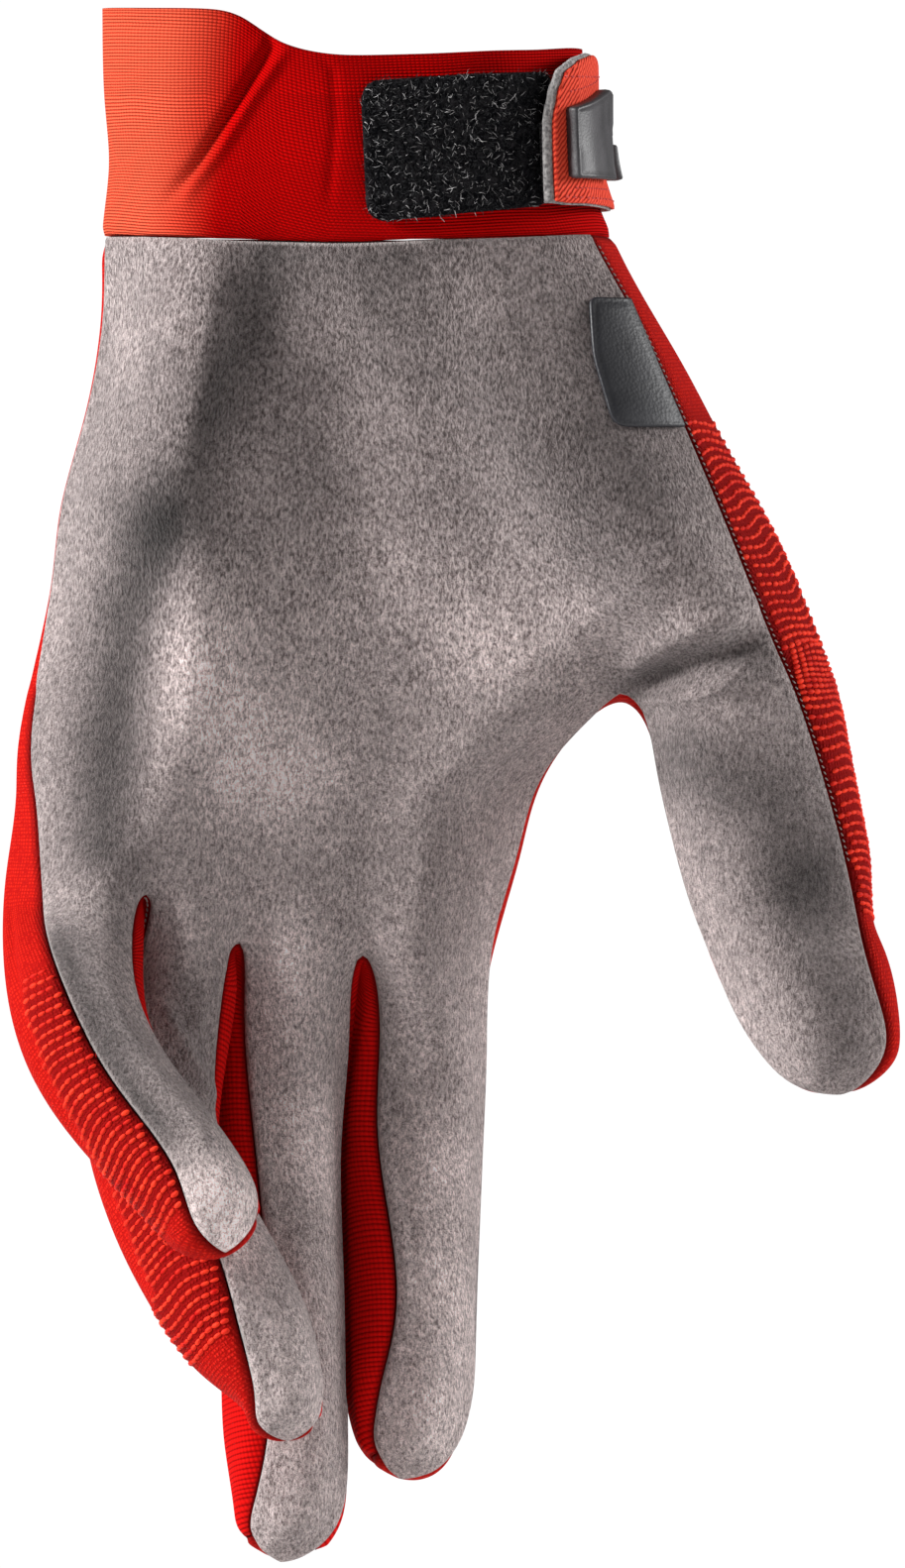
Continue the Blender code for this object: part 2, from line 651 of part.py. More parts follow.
def make_strap(cast):
    listed = [tab.turn for tab in STRAP]
    lifts = [strap_lift(turn) for turn in STRAP_TURNS]
    tops = np.interp(STRAP_TURNS, listed, [tab.top for tab in STRAP])
    feet = np.interp(STRAP_TURNS, listed, [tab.foot for tab in STRAP])
    band("strap", STRAP_TURNS, tops, feet, lifts, cast, STRAP_WALL, WEBBING, rows=5)
    count = len(HOOK_TURNS)
    lift = HOOK_LIFT_MM / 1000
    band("strap_hook", HOOK_TURNS, [HOOK_TOP] * count, [HOOK_FOOT] * count, [lift] * count,
         cast, HOOK_WALL, HOOK)


def make_pads(tree):
    straight, around = from_the_palm_side(tree), from_round_the_cuff(tree)
    make_strap(around)
    flat = lambda _: REST_GAP
    on_strap = lambda turn: strap_lift(turn) + STRAP_WALL + SEAM_GAP
    turn_mm = pi / 180 * BREADTH * 1000 / 2
    pad("loop_patch", rounded(LOOP_CORNERS, BREADTH * 10), straight, flat, PATCH_WALL, LOOP)
    pad("palm_patch", rounded(LABEL_CORNERS, BREADTH * 10), straight, flat, LABEL_WALL, LEATHERETTE)
    pad("strap_badge", rounded(BADGE_CORNERS, turn_mm, 2), around, on_strap, BADGE_WALL, RUBBER)
    pad("strap_pull", rounded(PULL_CORNERS, turn_mm, 2), around, on_strap, PULL_WALL, RUBBER, (1.0, 0.5))


def clear_scene():
    for obj in list(bpy.data.objects):
        bpy.data.objects.remove(obj)


def clear_helpers():
    for name in PANELS:
        bpy.data.materials.remove(bpy.data.materials[name])


def main():
    clear_scene()
    cage = glove_cage()
    points = fitted(cage)
    make_panels(*smoothed(points, cage.faces, cage.panels, CAD_LEVEL))
    fine = smoothed(points, cage.faces, cage.panels, REST_LEVEL)
    make_pads(surface_tree(fine[0], fine[1]))
    clear_helpers()


main()
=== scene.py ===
"""Looks for the left-hand motocross glove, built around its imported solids.

Up is +Z, the thumb is at +X and the palm faces -Y. The cloth panels are cut from the same control
cage as the solids, only finer, and carry relief, stitches and woven or napped materials.
"""

from collections import namedtuple
from math import cos, pi, radians, sin

import bpy
import numpy as np
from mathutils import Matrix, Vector
from mathutils.bvhtree import BVHTree
from mathutils.kdtree import KDTree


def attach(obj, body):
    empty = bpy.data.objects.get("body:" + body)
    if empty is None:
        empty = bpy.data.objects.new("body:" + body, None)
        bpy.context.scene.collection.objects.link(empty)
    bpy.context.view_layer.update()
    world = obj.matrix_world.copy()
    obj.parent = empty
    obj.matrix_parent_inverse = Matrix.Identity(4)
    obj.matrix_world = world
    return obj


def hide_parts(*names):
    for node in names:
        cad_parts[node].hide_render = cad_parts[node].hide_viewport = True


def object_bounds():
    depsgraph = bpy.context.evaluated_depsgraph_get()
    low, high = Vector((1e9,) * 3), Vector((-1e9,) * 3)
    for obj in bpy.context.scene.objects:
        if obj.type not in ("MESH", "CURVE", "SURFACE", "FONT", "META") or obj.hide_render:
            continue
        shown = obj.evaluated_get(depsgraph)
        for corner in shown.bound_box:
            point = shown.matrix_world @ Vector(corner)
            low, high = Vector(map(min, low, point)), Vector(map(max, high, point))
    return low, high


# The solids' driving sizes, in metres
LENGTH = 0.243
BREADTH = 0.080
DEPTH = 0.050
WALL = 0.0012
SEAM_GAP = 0.0003
PATCH_WALL = 0.0016
STRAP_WALL = 0.0016
HOOK_WALL = 0.0011
BADGE_WALL = 0.0020
PULL_WALL = 0.0024
LABEL_WALL = 0.0008
REST_GAP = 0.0004

# How finely the cage is cut: outer cloth, and the lining, which flat pieces are cast on too
SKIN_LEVEL = 4
LINING_LEVEL = 3

# The photograph's scale, and where its pixels start
PHOTO_WIDTH, PHOTO_HEIGHT = 913, 1582
PIXEL = 0.000155
PIXEL_ACROSS, PIXEL_DOWN = 360, 50

# In the tables, across is in hundredths of BREADTH, down of LENGTH and toward of DEPTH.
# Toward is toward the palm side. Every listed point lies on the glove's outer surface.
Side = namedtuple("Side", "down seam seam_toward side side_toward rear rear_toward")
LITTLE_SIDE = (
    Side(-2.9, -48.8, 16, -49.8, 0, -48.2, -18),    # top of the cuff
    Side(2.9, -48.2, 16, -49.6, 0, -47.9, -18),
    Side(7.3, -47.5, 16, -48.4, 0, -46.9, -18),
    Side(11.9, -49.5, 8, -49.5, -6, -46.9, -20),    # foot of the cuff
    Side(16.6, -49.8, 0, -49.2, -14, -46.1, -24),
    Side(23.0, -52.9, -4, -51.9, -16, -48.6, -24),
    Side(29.3, -58.0, -6, -57.0, -18, -53.2, -26),
    Side(35.1, -59.7, -4, -59.3, -16, -55.9, -24),
    Side(43.4, -63.9, 12, -65.7, 0, -63.0, -12),    # level with the thumb's fork
    Side(47.9, -63.0, 20, -66.7, 8, -64.3, -4),
    Side(51.7, -62.4, 26, -68.0, 14, -65.9, 2),
    Side(55.2, -61.4, 36, -69.0, 22, -67.0, 8),     # level with the finger forks
)
THUMB_SIDE = (
    Side(-0.3, 41.6, 18, 44.2, 0, 42.0, -20),
    Side(2.9, 41.8, 18, 44.4, 0, 42.2, -20),
    Side(7.3, 42.6, 18, 45.0, 0, 43.0, -20),
    Side(11.9, 45.9, 24, 50.2, 2, 47.1, -20),
    Side(16.0, 53.1, 28, 56.4, 6, 52.3, -18),
    Side(20.7, 59.9, 30, 64.9, 8, 59.7, -18),
    Side(25.8, 66.6, 32, 73.0, 8, 67.3, -18),
    Side(31.6, 73.8, 34, 82.9, 10, 77.0, -16),
    Side(38.3, 81.8, 34, 91.0, 12, 85.9, -12),
)
INDEX_SIDE = (
    Side(46.3, 37.2, -9, 36.2, -19, 33.9, -28),
    Side(51.7, 31.8, -9, 31.0, -20, 28.5, -30),
    Side(57.4, 26.8, -9, 26.2, -18, 23.5, -28),
)

# The palm's relief and the back's, row by row. The web is the line between index and thumb.
Relief = namedtuple("Relief", "web web_down edge heel hollow index web_toward ball")
PALM = (
    Relief(27.1, 0.0, 32, 40, 48, 46, 42, 32),
    Relief(27.1, 2.9, 33, 41, 49, 47, 43, 33),
    Relief(27.1, 7.3, 33, 41, 49, 47, 43, 34),
    Relief(27.1, 11.9, 30, 40, 44, 45, 44, 37),
    Relief(28.7, 16.3, 30, 45, 39, 43, 46, 40),
    Relief(32.9, 21.8, 31, 48, 33, 42, 49, 44),
    Relief(38.8, 27.4, 31, 48, 29, 37, 49, 48),
    Relief(45.0, 33.5, 32, 47, 26, 30, 40, 49),
    Relief(52.7, 41.4, 35, 44, 25, 24, 18, 38),
    Relief(0, 0, 38, 43, 25, 20, 0, 0),
    Relief(0, 0, 43, 42, 26, 19, 0, 0),
)
BACK = (
    Relief(26.0, 0.0, -34, -42, -48, -46, -42, -34),
    Relief(26.0, 2.9, -34, -42, -49, -47, -43, -34),
    Relief(26.0, 7.3, -34, -42, -49, -47, -43, -34),
    Relief(26.5, 11.9, -34, -41, -48, -46, -42, -34),
    Relief(28.0, 16.3, -32, -38, -46, -45, -41, -32),
    Relief(32.0, 21.5, -30, -34, -44, -44, -40, -32),
    Relief(38.0, 27.0, -27, -30, -42, -43, -40, -32),
    Relief(44.0, 32.8, -23, -26, -40, -42, -37, -32),
    Relief(51.9, 40.8, -16, -20, -38, -40, -22, -30),
    Relief(0, 0, -9, -15, -37, -37, 0, 0),
    Relief(0, 0, -3, -10, -36, -38, 0, 0),
)
# Where the little, ring, middle and index finger begin, as shares of the way from seam to web
COLUMN_SHARES = (0, 0.12, 0.247, 0.344, 0.441, 0.575, 0.709, 0.854, 1.0)
# How the top edge of the cuff stands above its sides, column by column, little finger first
CUFF_TOP = (-2.9, -2.8, -2.7, -2.2, -0.6, 0.25, 0.3, 0.2, 0.0, -0.1, -0.3)
# How far the foot of the cuff sags over the palm, column by column
CUFF_SAG = (0, 0.1, 0.25, 0.4, 0.55, 0.65, 0.55, 0.35, 0.2, 0.0, -0.2)

Fork = namedtuple("Fork", "across front_down front_toward mid_down mid_toward back_down back_toward")
THUMB_FORK = Fork(53.1, 41.4, 12, 41.2, -4, 40.8, -22)
# Each finger's own fork row: middles and forks in turn, from the little finger to the index
Knuckle = namedtuple("Knuckle", "across down toward back_across back_down back_toward")
FINGER_ROW = (
    Knuckle(-53.5, 55.0, 50, -57.5, 53.6, 8),
    Knuckle(-40.1, 53.5, 35, -46.5, 52.3, -2),      # fork of little and ring finger
    Knuckle(-31.2, 56.5, 37, -37.0, 54.2, -10),
    Knuckle(-23.1, 57.7, 23, -28.5, 55.8, -18),     # fork of ring and middle finger
    Knuckle(-11.2, 58.6, 26, -14.0, 56.1, -27),
    Knuckle(0.6, 58.3, 16, -0.5, 56.1, -26),        # fork of middle and index finger
    Knuckle(14.0, 58.2, 19, 12.8, 56.1, -33),
)
# Across, toward and down of the middle of each fork
FORK_MIDDLES = ((-43.0, 16, 53.2), (-25.8, 3, 57.4), (0.0, -6, 57.8))

# One row for each ring of points round a digit. Seams are degrees from the palm-facing side,
# toward the thumb side positive.
Ring = namedtuple("Ring", "across down toward half_width half_depth seam_from seam_to")
LITTLE = (
    Ring(-55.4, 60.6, 50, 12.9, 19.0, -18, 70),
    Ring(-50.2, 65.4, 66, 12.4, 18.6, -10, 80),
    Ring(-42.2, 68.9, 76, 12.2, 18.0, -14, 100),
    Ring(-32.6, 72.7, 87, 11.3, 17.0, -18, 100),
    Ring(-27.2, 75.6, 94, 9.2, 13.6, -36, 95),
)
RING = (
    Ring(-34.9, 60.6, 22, 10.2, 19.0, -66, 66),
    Ring(-40.5, 67.3, 28, 13.0, 20.0, -25, 80),
    Ring(-36.8, 73.1, 42, 13.3, 19.4, 0, 110),
    Ring(-28.4, 78.5, 58, 13.8, 19.0, 3, 115),
    Ring(-21.0, 82.5, 66, 12.9, 17.6, -12, 110),
    Ring(-14.8, 85.9, 70, 8.9, 14.4, -42, 112),
    Ring(-13.6, 88.2, 72, 6.6, 10.0, -70, 108),
)
MIDDLE = (
    Ring(-13.9, 63.5, 2, 12.7, 20.6, -46, 95),
    Ring(-16.4, 70.8, 7, 13.1, 20.6, -18, 100),
    Ring(-14.7, 78.2, 17, 12.1, 20.0, -18, 105),
    Ring(-14.1, 84.9, 25, 11.9, 19.6, -18, 105),
    Ring(-13.8, 89.6, 30, 11.6, 18.4, -19, 100),
    Ring(-13.1, 93.8, 35, 10.2, 15.2, -45, 95),
    Ring(-14.8, 96.1, 38, 7.0, 10.4, -65, 90),
)
INDEX = (
    Ring(12.2, 63.5, -9, 13.2, 21.4, -40, 105),
    Ring(10.4, 70.2, -8, 14.2, 21.0, -30, 105),
    Ring(10.4, 76.6, 2, 13.5, 20.4, -19, 110),
    Ring(10.2, 82.0, 8, 13.0, 20.0, -12, 110),
    Ring(10.4, 86.3, 15, 12.2, 18.8, -28, 105),
    Ring(10.1, 89.3, 20, 10.0, 15.2, -46, 100),
    Ring(9.3, 91.1, 24, 6.6, 10.4, -62, 90),
)
THUMB = (
    Ring(76.8, 44.2, 12, 19.0, 28.0, -90, 35),
    Ring(80.2, 49.6, 16, 18.5, 25.6, -92, 45),
    Ring(82.9, 53.8, 20, 17.8, 23.2, -92, 50),
    Ring(85.1, 57.4, 24, 15.8, 21.2, -92, 62),
    Ring(88.7, 60.1, 28, 15.7, 21.2, -92, 50),
    Ring(92.6, 63.0, 31, 14.1, 18.8, -92, 50),
    Ring(96.0, 65.6, 33.6, 10.3, 13.2, -85, 55),
)
TIPS = {
    "little": (-25.2, 77.5, 98),
    "ring": (-13.2, 89.6, 73),
    "middle": (-14.7, 97.4, 40),
    "index": (8.5, 92.1, 26),
    "thumb": (97.3, 67.2, 35),
}

# The strap, from its free end over the palm side round the thumb side to the back
Tab = namedtuple("Tab", "turn top foot lift_mm")
STRAP = (
    Tab(55, 4.5, 9.9, 3.8),
    Tab(57, 2.6, 9.9, 3.8),
    Tab(60, 1.3, 10.0, 3.8),
    Tab(66, 0.5, 10.0, 3.7),
    Tab(75, 0.1, 10.1, 2.2),
    Tab(85, 0.2, 10.2, 1.0),
    Tab(100, 0.4, 10.2, 0.7),
    Tab(150, 0.9, 10.2, 0.7),
)
HOOK_TOP, HOOK_FOOT, HOOK_LIFT_MM = 4.6, 9.4, 2.2

# Corners of the pieces that lie on others: across or turn, down, corner radius in mm
HOOK_CORNERS = (
    (56.3, HOOK_TOP, 0.5), (65.2, HOOK_TOP, 0.5), (65.2, HOOK_FOOT, 0.5), (56.3, HOOK_FOOT, 0.5),
)
LOOP_CORNERS = ((0.6, 2.1, 3.4), (36.5, 1.4, 2.0), (36.5, 10.1, 2.0), (1.9, 11.1, 3.6))
LABEL_CORNERS = (
    (44.9, 16.0, 1.4), (52.8, 16.1, 0.3), (63.6, 24.4, 0.4), (49.8, 24.4, 2.4), (45.7, 19.8, 2.2),
)
BADGE_CORNERS = (
    (60.5, 3.7, 0.6), (80, 2.4, 0.6), (88, 2.6, 0.6), (88, 4.6, 0.4), (83, 5.4, 0.4), (79, 8.3, 0.6),
    (60.5, 8.3, 0.6),
)
PULL_CORNERS = ((88, 5.9, 0.4), (99, 5.9, 0.4), (99, 8.2, 0.4), (88, 8.2, 0.4))

# The sewn panels in order, and the slot of each one's cloth
SLOTS = {
    "palm": "suede",
    "back": "stretch_mesh",
    "cuff": "moulded_knit",
    "gusset_ring_little": "ribbed_knit",
    "gusset_middle_ring": "ribbed_knit",
    "gusset_index_middle": "ribbed_knit",
}
PANELS = tuple(SLOTS)
PALM_PANEL, BACK_PANEL, CUFF_PANEL = 0, 1, 2

# Lines on the palm side, here and below, are across and down in the photograph's pixels.
# Folds in the cloth: half width in pixels, lift in mm, whether the ends fade, and the line
Fold = namedtuple("Fold", "width height_mm fades line")
FOLDS = (
    # The hand's own relief: the little finger's side stands up and the ground beside it falls away
    Fold(34, 0.9, True, ((190, 200), (165, 360), (105, 500), (70, 620), (50, 760), (50, 900))),
    Fold(44, -1.6, True, ((290, 200), (265, 340), (210, 460), (155, 580), (125, 700), (108, 860))),
    # The fold at the thumb's root: upper edge, hollow and lower edge
    Fold(9, 0.9, True, ((622, 700), (640, 676), (665, 652), (700, 634), (740, 622), (770, 600))),
    Fold(14, -2.4, True, ((630, 702), (655, 688), (690, 674), (735, 660), (775, 640))),
    Fold(7, 1.0, True, ((632, 700), (660, 704), (695, 706), (730, 692), (758, 664), (775, 640))),
    Fold(30, 0.8, True, ((560, 660), (610, 610), (670, 570))),
    Fold(8, -0.35, True, ((640, 712), (690, 722), (740, 716), (780, 696))),
    Fold(9, -0.45, True, ((700, 800), (725, 812), (760, 806))),
    # Ring and little finger
    Fold(6, 0.8, True, ((163, 1010), (190, 1060), (219, 1117))),
    Fold(6, -1.0, True, ((166, 1068), (190, 1090), (212, 1109))),
    Fold(8, 0.6, True, ((225, 960), (205, 1010), (192, 1060))),
    Fold(6, -0.5, True, ((150, 860), (151, 895))),
    Fold(7, -0.4, True, ((66, 990), (120, 1075), (168, 1130), (194, 1180))),
    Fold(9, 0.35, True, ((100, 985), (145, 1065), (195, 1130), (222, 1180))),
    # Binding along the little and ring finger's outer side
    Fold(4.5, -0.7, True, (
        (10, 900), (11, 960), (21, 1020), (44, 1080), (60, 1112), (84, 1152), (102, 1175),
    )),
    Fold(4.5, -0.7, True, ((105, 1190), (120, 1232), (136, 1272), (150, 1300))),
    # The cuff's hem, groove and raised edge, left of the loop patch
    Fold(2.5, -0.35, False, ((104, 25), (222, 21))),
    Fold(6, -1.1, True, ((250, 28), (269, 33), (273, 46), (240, 100), (200, 160), (161, 210))),
    Fold(5.5, 0.8, True, ((294, 44), (259, 93), (223, 150), (188, 196), (188, 211))),
    Fold(6, -0.6, True, ((284, 40), (250, 92), (214, 148), (178, 198))),
    Fold(5, -0.3, True, ((319, 55), (336, 72), (339, 120), (331, 213))),
)

# Seams that are pushed out to the silhouette, so that mostly suede shows there
Edge = namedtuple("Edge", "reach_mm line")
EDGES = (
    Edge(0.8, ((108, 245), (106, 300), (98, 360), (80, 450), (60, 540), (48, 620), (38, 670))),
    Edge(1.1, ((500, 900), (520, 830), (545, 775), (580, 725), (615, 700), (640, 712), (665, 780))),
    Edge(1.1, ((665, 780), (700, 870), (727, 980), (760, 1050), (790, 1095), (830, 1104))),
    Edge(0.9, ((500, 900), (490, 1000), (482, 1200), (475, 1320), (446, 1440), (410, 1489))),
    Edge(0.9, ((346, 1440), (340, 1500), (315, 1555), (275, 1578))),
)
# The palm's share of that, and the back's, which draws in
EDGE_SHARES = {PALM_PANEL: 0.45, BACK_PANEL: -0.9}
EDGE_REACH = 0.0026
# The little and ring finger's binding, which the raised rows stop at
BINDING = (
    (10, 900), (11, 960), (21, 1020), (44, 1080), (84, 1152), (105, 1190), (136, 1272), (150, 1300),
)
# The thumb's inner side, which has no raised rows
THUMB_INNER = ((730, 640), (850, 1100))
# Where the cuff's painted light, a lit copy of its red, gives way to a darker shaded copy
CUFF_PAINTED_LIGHT_LINE = ((212, 21), (182, 220))

# Painted light and shade in the suede's colour, bands darker or lighter: width in pixels, amount, and its
# line
Band = namedtuple("Band", "width amount line")
PAINTED_LIGHT_BANDS = (
    Band(40, -0.60, ((275, 235), (252, 340), (205, 440), (160, 530))),
    Band(48, -0.80, ((160, 530), (125, 620), (110, 720), (104, 850))),
    Band(100, -0.46, ((380, 240), (440, 340), (540, 430), (620, 520))),
    Band(50, -0.20, ((600, 450), (610, 620))),
    Band(26, -0.55, ((640, 690), (690, 672), (770, 656))),
    Band(62, -0.66, ((690, 760), (765, 800), (810, 880))),
    Band(50, -0.50, ((810, 900), (850, 1050))),
    Band(60, 0.95, ((205, 680), (265, 780))),
    Band(40, 0.62, ((290, 960), (300, 1180))),
    Band(40, 0.10, ((300, 1300), (290, 1520))),
    Band(46, 0.48, ((440, 1180), (440, 1440))),
    Band(44, 0.30, ((500, 660), (590, 620))),
    Band(34, -0.66, ((60, 960), (110, 1060), (150, 1130))),
    Band(34, 0.95, ((212, 1200), (228, 1250))),
    Band(26, -0.30, ((190, 1010), (215, 1110))),
    Band(60, 0.15, ((130, 260), (150, 330))),
)

# Digit, and the row numbers between which the cloth on its back has raised rows
ROWS = (
    ("little", 11.9, 15.8),
    ("ring", 12.0, 16.2),
    ("middle", 12.0, 15.6),
    ("index", 12.0, 15.4),
    ("thumb", 7.0, 12.2),
)
KNOT_PITCH, KNOT_SPACING = 0.00155, 0.00145
KNOT_WIDTH, KNOT_HEIGHT, KNOT_SUNK = 0.00082, 0.00042, 0.0001
KNOT_CLEAR = 0.0010
# How the rows of knots wave: height in metres, then each wave's length, start and slope
WAVE_HEIGHT = 0.0004
WAVES = ((0.0019, 0.0, 0.21), (0.0043, 1.0, 0.093))

# The dip along each seam, and how the gussets stand up between theirs, in metres
SEAM_DIP, SEAM_DIP_REACH = 0.00045, 0.0009
GUSSET_BULGE, GUSSET_BULGE_REACH = 0.0008, 0.002
# Millimetres round the cuff to a degree of turn
TURN_MM = pi / 180 * BREADTH * 1000 / 2

# Lamps: where, size and watts
LAMPS = {
    "key": ((-1.4, -0.45, 0.6), 0.5, 50.0),
    "fill": ((0.9, -1.1, -0.1), 0.9, 3.0),
    "rim": ((1.3, 0.2, 0.3), 0.5, 16.0),
}
LAMP_TARGET = (0.015, 0.0, -0.115)
SKY_LIGHT, SKY_SEEN = 0.16, 1.05
FLOOR_REACH, FLOOR_DROP = 0.5, 0.02
CAMERA_AWAY, FOCUS_TOWARD, SENSOR_MM = 4.0, 0.02, 36.0


def place(across, toward, down):
    """A point from hundredths of the three driving sizes."""
    return np.array((across * BREADTH, -toward * DEPTH, -down * LENGTH)) / 100


def blend(start, end, share):
    return start + (end - start) * share


# Rows of the hand

def across_the_row(little, web_across, web_down):
    """(across, down) of the nine columns from the little-finger side to the web."""
    return [
        (blend(little[0], web_across, share), blend(little[1], web_down, share))
        for share in COLUMN_SHARES
    ]


def relief_of(first, row, last):
    """Toward for the nine columns: two by the edge, the heel, the hollow, the index and the last."""
    third = blend(row.heel, row.hollow, 0.34)
    fourth = blend(row.heel, row.hollow, 0.68)
    sixth = blend(row.hollow, row.index, 0.6)
    return [first, row.edge, row.heel, third, fourth, row.hollow, sixth, row.index, last]


def wide_row(number):
    """24 points round a row that takes in the thumb, from the little-finger seam along the palm."""
    little, thumb = LITTLE_SIDE[number], THUMB_SIDE[number]
    palm, back = PALM[number], BACK[number]
    front = across_the_row((little.seam, little.down), palm.web, palm.web_down)
    rear = across_the_row((little.rear, little.down), back.web, back.web_down)
    front_toward = relief_of(little.seam_toward, palm, palm.web_toward)
    rear_toward = relief_of(little.rear_toward, back, back.web_toward)
    front.append((blend(palm.web, thumb.seam, 0.55), blend(palm.web_down, thumb.down, 0.55)))
    rear.append((blend(back.web, thumb.rear, 0.55), blend(back.web_down, thumb.down, 0.55)))
    front.append((thumb.seam, thumb.down))
    rear.append((thumb.rear, thumb.down))
    front_toward += [palm.ball, thumb.seam_toward]
    rear_toward += [back.ball, thumb.rear_toward]
    if number == 0:
        front = [(spot[0], down) for spot, down in zip(front, CUFF_TOP)]
        rear = [(spot[0], down) for spot, down in zip(rear, CUFF_TOP)]
    if number == 3:
        front = [(spot[0], spot[1] + sag) for spot, sag in zip(front, CUFF_SAG)]
    points = [place(a, t, d) for (a, d), t in zip(front, front_toward)]
    points.append(place(thumb.side, thumb.side_toward, thumb.down))
    points += [place(a, t, d) for (a, d), t in reversed(list(zip(rear, rear_toward)))]
    points.append(place(little.side, little.side_toward, little.down))
    return points


def narrow_row(number):
    """20 points round a row below the thumb's fork."""
    little, index = LITTLE_SIDE[number], INDEX_SIDE[number - 9]
    palm, back = PALM[number], BACK[number]
    front = across_the_row((little.seam, little.down), index.seam, index.down)
    rear = across_the_row((little.rear, little.down), index.rear, index.down)
    front_toward = relief_of(little.seam_toward, palm, index.seam_toward)
    rear_toward = relief_of(little.rear_toward, back, index.rear_toward)
    points = [place(a, t, d) for (a, d), t in zip(front, front_toward)]
    points.append(place(index.side, index.side_toward, index.down))
    points += [place(a, t, d) for (a, d), t in reversed(list(zip(rear, rear_toward)))]
    points.append(place(little.side, little.side_toward, little.down))
    return points


def finger_row():
    """20 points round the row where the fingers part."""
    little, index = LITTLE_SIDE[-1], INDEX_SIDE[-1]
    front = [place(little.seam, little.seam_toward, little.down)]
    front += [place(k.across, k.toward, k.down) for k in FINGER_ROW]
    front.append(place(index.seam, index.seam_toward, index.down))
    rear = [place(little.rear, little.rear_toward, little.down)]
    rear += [place(k.back_across, k.back_toward, k.back_down) for k in FINGER_ROW]
    rear.append(place(index.rear, index.rear_toward, index.down))
    points = front + [place(index.side, index.side_toward, index.down)]
    return points + rear[::-1] + [place(little.side, little.side_toward, little.down)]


# Rings of the digits

def digit_rings(rings, tip, root):
    """The 8 points round each ring, square to the line through their middles."""
    middles = [place(r.across, r.toward, r.down) for r in rings]
    line = [root] + middles + [tip]
    made = []
    for number, ring in enumerate(rings):
        along = line[number + 2] - line[number]
        along /= np.linalg.norm(along)
        right = np.array((1.0, 0.0, 0.0)) - along[0] * along
        right /= np.linalg.norm(right)
        toward = np.cross(along, right)
        toward *= -1 if toward[1] > 0 else 1
        step = (360 - ring.seam_to + ring.seam_from) / 6
        turns = [ring.seam_from, (ring.seam_from + ring.seam_to) / 2]
        turns += [ring.seam_to + step * number for number in range(6)]
        made.append([
            middles[number]
            + right * sin(radians(turn)) * ring.half_width * BREADTH / 100
            + toward * cos(radians(turn)) * ring.half_depth * DEPTH / 100
            for turn in turns
        ])
    return made


# The control cage: quads all over, one tube for the hand and one for each digit

BACK_MIDDLE = {24: 17, 20: 14, 8: 5}
DIGITS = {"hand": 0, "little": 1, "ring": 2, "middle": 3, "index": 4, "thumb": 5}
FIRST_STATION = {"little": 12, "ring": 12, "middle": 12, "index": 12, "thumb": 9}


class Cage:
    """Points with their way along the hand and row number, and quads with panel, digit and turns."""

    def __init__(self):
        self.points, self.along, self.stations = [], [], []
        self.faces, self.panels, self.digits, self.around = [], [], [], []

    def add(self, points, along, station):
        first = len(self.points)
        self.points += list(points)
        self.along += list(along)
        self.stations += [station] * len(points)
        return list(range(first, len(self.points)))

    def row(self, points, above, station):
        """A row of the hand, as far along as the row above it and the way down from there."""
        if above is None:
            along = [0.0] * len(points)
        else:
            along = [
                self.along[k] + float(np.linalg.norm(point - self.points[k]))
                for point, k in zip(points, above)
            ]
        return self.add(points, along, station)

    def turns(self, ring):
        """Metres round the ring to each point and the first again, from the middle of the back."""
        loop = np.array([self.points[k] for k in list(ring) + [ring[0]]])
        steps = np.linalg.norm(np.diff(loop, axis=0), axis=1)
        length = np.concatenate(((0.0,), np.cumsum(steps)))
        return length - length[BACK_MIDDLE[len(ring)]]

    def join(self, upper, lower, panels, digit="hand"):
        count = len(upper)
        above, below = self.turns(upper), self.turns(lower)
        for k in range(count):
            after = (k + 1) % count
            self.faces.append((upper[k], lower[k], lower[after], upper[after]))
            self.around.append((above[k], below[k], below[k + 1], above[k + 1]))
            self.panels.append(panels[k])
            self.digits.append(DIGITS[digit])

    def close(self, ring, tip, digit):
        turns = self.turns(ring)
        for k in (1, 3, 5, 7):
            self.faces.append((tip, ring[(k + 1) % 8], ring[k], ring[k - 1]))
            self.around.append((turns[k], turns[k + 1], turns[k], turns[k - 1]))
            self.panels.append(PALM_PANEL if k == 1 else BACK_PANEL)
            self.digits.append(DIGITS[digit])


def add_digit(cage, root, rings, tip, thumb_side, little_side, name, little_rings=9):
    """A digit from the 8 shared points of its root ring to its tip.

    Its little-finger side is of the little_side panel for little_rings rings, then of the back.
    """
    tip_point = place(tip[0], tip[2], tip[1])
    middle = sum(cage.points[k] for k in root) / len(root)
    along = sum(cage.along[k] for k in root) / len(root)
    panels = [PALM_PANEL] * 2 + [thumb_side] * 2 + [BACK_PANEL] * 2 + [little_side] * 2
    upper = root
    station = FIRST_STATION[name]
    for number, points in enumerate(digit_rings(rings, tip_point, middle)):
        here = sum(points) / len(points)
        along += float(np.linalg.norm(here - middle))
        middle = here
        lower = cage.add(points, [along] * 8, station + number)
        if number == little_rings:
            panels = panels[:6] + [BACK_PANEL] * 2
        cage.join(upper, lower, panels, name)
        upper = lower
    along += float(np.linalg.norm(tip_point - middle))
    cage.close(upper, cage.add([tip_point], [along], station + len(rings))[0], name)


